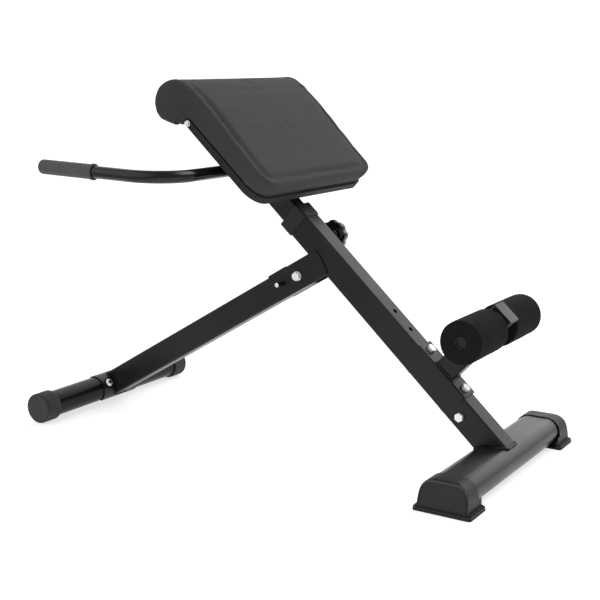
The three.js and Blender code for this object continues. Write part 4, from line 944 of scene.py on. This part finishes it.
# -------------------------------------------------------------------- seat post
sp = csg(hollow(POST_W, POST_H, POST_R, POST_WALL, -POST_TOP, -POST_BOTTOM), cuts=[
    *[cyl("y", 5, 5, 40, -PIN_S - i * 25, 0, 32) for i in range(-5, 2)],
    *[cyl("z", 4.4, 10, 40, -s, 0, 32) for s in BRACKET_S]])
piece("seat_post_look", sp, BEAM, "seat", "seat_post", M["post"], bevel=0.4)

br0 = POST_H / 2 + CLEAR
HB = BOARD_N0 - 0.3 - br0
for i, tag in enumerate(("lower", "upper")):
    s = BRACKET_S[i]
    side = [(-135, HB - 1), (-135, HB - 9), (-41, 0), (41, 0), (135, HB - 9), (135, HB - 1)]
    wall = lambda x0: move(bar(side, x0, x0 + 2.5), 0, 0, br0)
    ch = csg(move(plate(rrect(32, 270, 4, 6), -2.5, 0), -s, 0, br0 + HB), adds=[wall(-s - 16), wall(-s + 13.5)],
             cuts=[cyl("z", 3.4, 0, 90, -s, k * 105, 32) for k in (-1, 1)])
    piece(f"pad_bracket_{tag}_look", ch, BEAM, "seat", f"pad_bracket_{tag}", M["powder"], bevel=0.6)
    for k, sd in ((-1, "near"), (1, "far")):
        fastener(f"pad_screw_{tag}_{sd}_look", hex_head(11, 4, 3, 13, 0.2, 8, 1.2), T(-s, k * 105, BOARD_N0 - 3.0) @ FLIP, BEAM, "seat", 0.25)

# padded board: wrapped in the same vinyl, softened edges
o = [(-BOARD_TO, -PAD_HALF + 1.5)]
rr = PAD_CORNER
hh = PAD_HALF - 1.5
for i in range(17):
    a = rad(-90 + 90 * i / 16)
    o.append((-PAD_FROM - rr + rr * math.cos(a), -hh + rr + rr * math.sin(a)))
for i in range(17):
    a = rad(90 * i / 16)
    o.append((-PAD_FROM - rr + rr * math.cos(a), hh - rr + rr * math.sin(a)))
o.append((-BOARD_TO, hh))
board = csg(plate(o, BOARD_N0, BOARD_N1 - 0.4), cuts=[
    *[cyl("z", 3.3, BOARD_N0 - 5, BOARD_N0 + 11, -s, k * 105, 24) for s in BRACKET_S for k in (-1, 1)],
    *[cyl("y", 3.3, min(k * (hh - 26), k * (hh + 6)), max(k * (hh - 26), k * (hh + 6)), -898, 66, 24) for k in (-1, 1)]])
bo = piece("pad_board_look", board, BEAM, "seat", "pad_board", M["wrap"], bevel=3.2, seg=5, angle=40, smooth=50)
for k, tag in ((-1, "near"), (1, "far")):
    fastener(f"board_bolt_{tag}_look", hex_head(10, 3.4, 3, 22, 0.2, 6.6, 1.2), T(-898, k * (hh + CLEAR), 66) @ (NEAR if k < 0 else FAR), BEAM, "seat", 0.25)


# ---------------------------------------------------------------------- cushion
def cushion():
    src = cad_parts["pad_cushion"]
    me = src.data.copy()
    me.transform(in_mm(BEAM).inverted() @ Matrix.Diagonal((1000, 1000, 1000, 1)))
    o = bpy.data.objects.new("cushion_work", me)
    SC.collection.objects.link(o)
    me.transform(Matrix.Diagonal((MM, MM, MM, 1)))
    rm = o.modifiers.new("remesh", "REMESH")
    rm.mode, rm.voxel_size, rm.adaptivity = "VOXEL", 0.0044, 0.0
    sm = o.modifiers.new("smooth", "SMOOTH")
    sm.factor, sm.iterations = 0.5, 1
    bpy.context.view_layer.update()
    work = bpy.data.meshes.new_from_object(o.evaluated_get(bpy.context.evaluated_depsgraph_get()))
    o.modifiers.clear()
    o.data = work
    # starts a little smaller than its final size
    inset = [v.co - v.normal * 0.0012 for v in work.vertices]
    for v, c in zip(work.vertices, inset):
        v.co = c
    start = [v.co.copy() for v in work.vertices]
    outward = [v.normal.copy() for v in work.vertices]
    pin = o.vertex_groups.new(name="pin")
    held = [i for i, c in enumerate(start) if (c.z < 0.0765 and c.x > -0.9035) or (c.x > -0.9085 and c.z < 0.072)]
    pin.add(held, 1.0, "REPLACE")
    cl = o.modifiers.new("cloth", "CLOTH")
    st = cl.settings
    st.quality, st.mass = 6, 0.3
    st.tension_stiffness = st.compression_stiffness = 40
    st.shear_stiffness, st.bending_stiffness = 20, 6.0
    st.use_pressure, st.uniform_pressure_force = True, 4.0
    st.vertex_group_mass = "pin"
    st.effector_weights.gravity = 0
    cl.collision_settings.use_collision = False
    for f in range(1, 21):
        SC.frame_set(f)
    done = bpy.data.meshes.new_from_object(o.evaluated_get(bpy.context.evaluated_depsgraph_get()))
    o.modifiers.clear()
    # how far a point may move: up to 3 mm outward, hardly at all inward or along the cover
    for i, v in enumerate(done.vertices):
        d = v.co - start[i]
        out = d.dot(outward[i])
        along = d - outward[i] * out
        out = 0.0030 * math.tanh(out / 0.006) if out > 0 else 0.0006 * math.tanh(out / 0.003)
        v.co = start[i] + outward[i] * out + along * (0.0012 / (along.length + 0.004))
    SC.frame_set(1)
    o.data = done
    ss = o.modifiers.new("sub", "SUBSURF")
    ss.levels = ss.render_levels = 1
    sm = o.modifiers.new("smooth", "SMOOTH")
    sm.factor, sm.iterations = 0.4, 1
    bpy.context.view_layer.update()
    me = bpy.data.meshes.new_from_object(o.evaluated_get(bpy.context.evaluated_depsgraph_get()))
    bpy.data.objects.remove(o)
    curve = ((600, -5.5), (671, -5.5), (700, -5.0), (740, -3.8), (790, -0.4), (840, 3.3), (880, 5.2), (910, 4.8), (935, 2.2), (957, 0.0), (1100, 0.0))

    def along(at):
        for (a, fa), (b, fb) in zip(curve, curve[1:]):
            if a <= at <= b:
                t = (at - a) / (b - a)
                return fa + (fb - fa) * t * t * (3 - 2 * t)
        return 0.0
    # the cover is pulled tight over the edges: a raised crest just inside each edge, a shallow dip inboard of it
    me.calc_loop_triangles()
    normals = [v.normal.copy() for v in me.vertices]
    for i, v in enumerate(me.vertices):
        x, y, z = v.co.x * 1000, v.co.y * 1000, v.co.z * 1000
        nz = normals[i].z
        sx = -x
        edge_y = PAD_HALF - abs(y)
        edge_x = sx - PAD_FROM
        rr2 = PAD_CORNER
        if edge_y < rr2 and edge_x < rr2:
            d = rr2 - math.hypot(rr2 - edge_y, rr2 - edge_x)
        else:
            d = min(edge_y, edge_x)
        top = max(0.0, min(1.0, (nz - 0.25) / 0.5))
        if sx > NOSE_S - 12:
            # over the nose only the side edges carry the crest, and it follows the roll
            ang = math.atan2(z - NOSE_N, -(x + NOSE_S))
            rolled = math.hypot(x + NOSE_S, z - NOSE_N) > NOSE_R - 12
            top = 1.0 if (rolled and abs(normals[i].y) < 0.85) else 0.0
            d = edge_y
            top *= 0.35 * max(0.0, min(1.0, (math.sin(ang) + 0.9) / 0.9))
        crest = 1.9 * math.exp(-((d - 7.0) / 5.2) ** 2) - 3.3 * math.exp(-((d - 20) / 7.5) ** 2)
        soft = 0.40 * noise.noise(Vector((x * 0.012, y * 0.012, z * 0.012))) + 0.14 * noise.noise(Vector((x * 0.05, y * 0.05, z * 0.05)))
        # one faint fold where the cover is drawn down the middle of the top
        if nz > 0.8:
            soft -= 0.45 * math.exp(-((y - 8 - 10 * noise.noise(Vector((x * 0.008, 2.0, 0)))) / 3.2) ** 2) * max(0.0, min(1.0, (edge_x - 30) / 40))
        # small puckers along the lower half of the front face and round the corners
        front = max(0.0, min(1.0, (0.75 - abs(nz)) * 2)) * max(0.0, 1 - edge_x / 30)
        soft += front * 0.38 * noise.noise(Vector((x * 0.02, y * 0.055, z * 0.03 + 5))) * 1.6
        # sides draw in slightly between top and board, and over the board's edge
        drawn = 0.0
        if abs(normals[i].y) > 0.7 and sx < 905:
            f = (z - BOARD_N1) / 44.0
            drawn = (-0.8 * math.exp(-(f / 0.16) ** 2) - 0.7 * math.exp(-((f - 0.55) / 0.22) ** 2)) * min(1.0, (905 - sx) / 45)
        full = 1.3 if z > BOARD_N1 + 3 or sx > BOARD_TO + 6 else 0.0
        v.co += normals[i] * MM * (full + crest * top + soft + drawn)
        # thickest just in front of the nose, thinner towards the front edge
        high = max(0.0, min(1.0, (z - 84) / 30))
        v.co.z += MM * high * high * (3 - 2 * high) * along(sx)
        # the nose ends are filled out into shallow domes
        rn = math.hypot(sx - NOSE_S, z - NOSE_N)
        if abs(normals[i].y) > 0.25 and sx > 870:
            fade = min(1.0, (sx - 870) / 80)
            dome = 10.0 * max(0.0, 1 - (rn / 54.0) ** 2) * fade * fade * (3 - 2 * fade)
            v.co.y += MM * math.copysign(dome, y) * min(1.0, abs(normals[i].y) * 1.3)
        if sx > 925 and rn > 26:
            out = Vector((-(sx - NOSE_S), 0, z - NOSE_N)).normalized()
            under = 0.5 - 0.5 * out.dot(Vector((-0.2, 0, 0.98)))
            edge = max(0.0, min(1.0, 1.0 - (PAD_HALF - abs(y)) / 44.0))
            v.co += out * MM * (0.2 + 6.5 * under) * edge * edge * (3 - 2 * edge)
        if normals[i].x > 0.35 and sx < 700:
            low = max(0.0, min(1.0, 1 - (z - BOARD_N1) / 36.0))
            v.co.x -= MM * 6.5 * low * low * min(1.0, normals[i].x)
        # the side panels lean in a little towards the top edge
        if edge_y < 14 and z > 96 and sx < 930:
            v.co.z -= MM * 2.2 * (1 - max(0.0, edge_y) / 14) ** 2
    me.transform(Matrix.Diagonal((1000, 1000, 1000, 1)))
    p = piece("pad_cushion_look", me, BEAM, "seat", "pad_cushion", M["vinyl"], bevel=0, smooth=70, weighted=False)
    p.data.shade_smooth()
    return p


cushion()

# ----------------------------------------------------------------------- handle
a = rad(BEAM_TILT)
hx = BEAM_FOOT[0] - HANDLE_S * math.cos(a) + HANDLE_N * math.sin(a)
hz = BEAM_FOOT[1] + HANDLE_S * math.sin(a) + HANDLE_N * math.cos(a)
g1 = Vector((-math.cos(rad(HANDLE_TILT)), 0, math.sin(rad(HANDLE_TILT))))
ys = HANDLE_Y - HANDLE_BEND
straight = HANDLE_REACH - HANDLE_BEND


def handle_half(k):
    start = Vector((hx, k * ys, hz))
    side = Vector((0, k, 0))
    pts = [start + side * HANDLE_BEND * math.sin(rad(90 * i / 28)) + g1 * HANDLE_BEND * (1 - math.cos(rad(90 * i / 28))) for i in range(29)]
    for i in range(1, 9):
        pts.append(pts[28] + g1 * straight * i / 8)
    return pts


near_half, far_half = handle_half(-1), handle_half(1)
hb = sweep(list(reversed(near_half)) + far_half, HANDLE_R, 48)
piece("handle_bar_look", hb, ROOT, "seat", "handle_bar", M["handle"], bevel=0.4, smooth=60)
for tag, line in (("near", near_half), ("far", far_half)):
    tip = line[-1]
    q = Vector((0, 1, 0)).rotation_difference(-g1).to_matrix().to_4x4()
    R = GRIP_R
    prof = [(0, -3.4), (3.2, -3.4), (4.0, -3.9), (R - 5.5, -4.0), (R - 3.2, -3.7), (R - 1.3, -2.4), (R - 0.35, -0.6), (R, 1.6)]
    prof += [(R, 1.6 + (GRIP_L - 9.6) * t / 16) for t in range(1, 17)]
    prof += [(R + 0.3, GRIP_L - 7.2), (R + 1.2, GRIP_L - 6.2), (R + 1.6, GRIP_L - 4.9), (R + 1.6, GRIP_L - 1.6), (R + 1.1, GRIP_L - 0.4), (R + 0.3, GRIP_L),
             (HANDLE_R + 0.3, GRIP_L), (HANDLE_R + 0.25, GRIP_L - 3), (HANDLE_R + 0.25, -0.4), (0, -0.4)]
    grip = lathe(prof, 96)
    piece(f"handle_grip_{tag}_look", grip, ROOT @ Matrix.Translation(tip * MM) @ q, "seat", f"handle_grip_{tag}", M["grip"], bevel=0, smooth=60)

# -------------------------------------------------- CAD nodes that stay as they are
keep("base_stub", M["powder"])
keep("pin_housing", M["zinc"])
keep("pull_pin", M["zinc"], bevel=0.2)
keep("pin_spring", M["zinc"], bevel=0)
keep("seat_post_plug", M["plastic"], bevel=0.8)


# ------------------------------------------------------------------------ studio
def studio():
    me = to_mesh(plate(rrect(14000, 14000, 3000, 10), -40, 0))
    me.transform(Matrix.Diagonal((MM, MM, MM, 1)))
    floor = bpy.data.objects.new("studio_floor", me)
    floor.location.z = -0.0004
    SC.collection.objects.link(floor)
    g = Graph("pale_floor")
    col = g.mix(g.ramp(g.noise(2.2, 3, 0.5), 0.3, 0.7), (0.58, 0.58, 0.58), (0.62, 0.62, 0.62))
    m = g.done(col, g.ramp(g.noise(60, 3, 0.5), 0.3, 0.7, 0.75, 0.85), spec=0.1)
    g.bsdf.inputs["Emission Color"].default_value = (1, 1, 1, 1)
    away = g.node("ShaderNodeVectorMath", operation="DOT_PRODUCT")
    away.inputs[1].default_value = (0.545, 0.838, 0)
    shift = g.node("ShaderNodeVectorMath", operation="ADD")
    shift.inputs[1].default_value = (0.25, 0.0, 0)
    g.link(g.coord, shift.inputs[0])
    g.link(shift.outputs[0], away.inputs[0])
    side = g.node("ShaderNodeVectorMath", operation="DOT_PRODUCT")
    side.inputs[1].default_value = (0.9878, 0.3117, 0)
    shift2 = g.node("ShaderNodeVectorMath", operation="ADD")
    shift2.inputs[1].default_value = (-1.364, 2.076, 0)
    g.link(g.coord, shift2.inputs[0])
    g.link(shift2.outputs[0], side.inputs[0])
    glow = g.ramp(away.outputs["Value"], -1.2, -0.45, 0.0, 0.66)
    g.link(g.math("MULTIPLY", glow, g.ramp(side.outputs["Value"], 0.02, 1.4, 1.0, 0.4)), g.bsdf.inputs["Emission Strength"])
    me.materials.append(m)

    w = bpy.data.worlds.new("studio")
    SC.world = w
    w.use_nodes = True
    t = w.node_tree
    t.nodes.clear()
    out = t.nodes.new("ShaderNodeOutputWorld")
    bg = t.nodes.new("ShaderNodeBackground")
    tc = t.nodes.new("ShaderNodeTexCoord")
    def lobe(direction, lo, hi, a, b):
        d = t.nodes.new("ShaderNodeVectorMath")
        d.operation = "DOT_PRODUCT"
        d.inputs[1].default_value = Vector(direction).normalized()
        m = t.nodes.new("ShaderNodeMapRange")
        m.interpolation_type = "SMOOTHSTEP"
        m.inputs["From Min"].default_value = lo
        m.inputs["From Max"].default_value = hi
        m.inputs["To Min"].default_value = a
        m.inputs["To Max"].default_value = b
        t.links.new(tc.outputs["Generated"], d.inputs[0])
        t.links.new(d.outputs["Value"], m.inputs["Value"])
        return m.outputs["Result"]
    total = lobe((-0.53, 0.83, -0.05), 0.2, 0.9, 0.40, 1.22)
    for extra in (lobe((0.16, 0.82, 0.54), 0.78, 0.98, 0.0, 1.15), lobe((-0.35, -0.8, 0.48), 0.5, 1.0, 0.0, 0.85)):
        both = t.nodes.new("ShaderNodeMath")
        both.operation = "ADD"
        t.links.new(total, both.inputs[0])
        t.links.new(extra, both.inputs[1])
        total = both.outputs[0]
    t.links.new(total, bg.inputs["Strength"])
    bg.inputs["Color"].default_value = (1, 1, 1, 1)
    t.links.new(bg.outputs[0], out.inputs[0])

    def soft_light(name, loc, target, sx, sy, power):
        l = bpy.data.lights.new(name, "AREA")
        l.shape, l.size, l.size_y, l.energy = "RECTANGLE", sx, sy, power
        ob = bpy.data.objects.new(name, l)
        SC.collection.objects.link(ob)
        ob.location = loc
        ob.visible_camera = False
        ob.rotation_mode = "QUATERNION"
        ob.rotation_quaternion = (Vector(target) - Vector(loc)).to_track_quat("-Z", "Y")
        return ob
    soft_light("key", (1.5, 0.9, 2.4), (0.0, 0, 0.3), 1.6, 1.6, 22)
    SC.view_settings.view_transform = "Standard"
    SC.view_settings.look = "None"
    SC.view_settings.exposure = 0.0
    SC.view_settings.gamma = 1.0


studio()
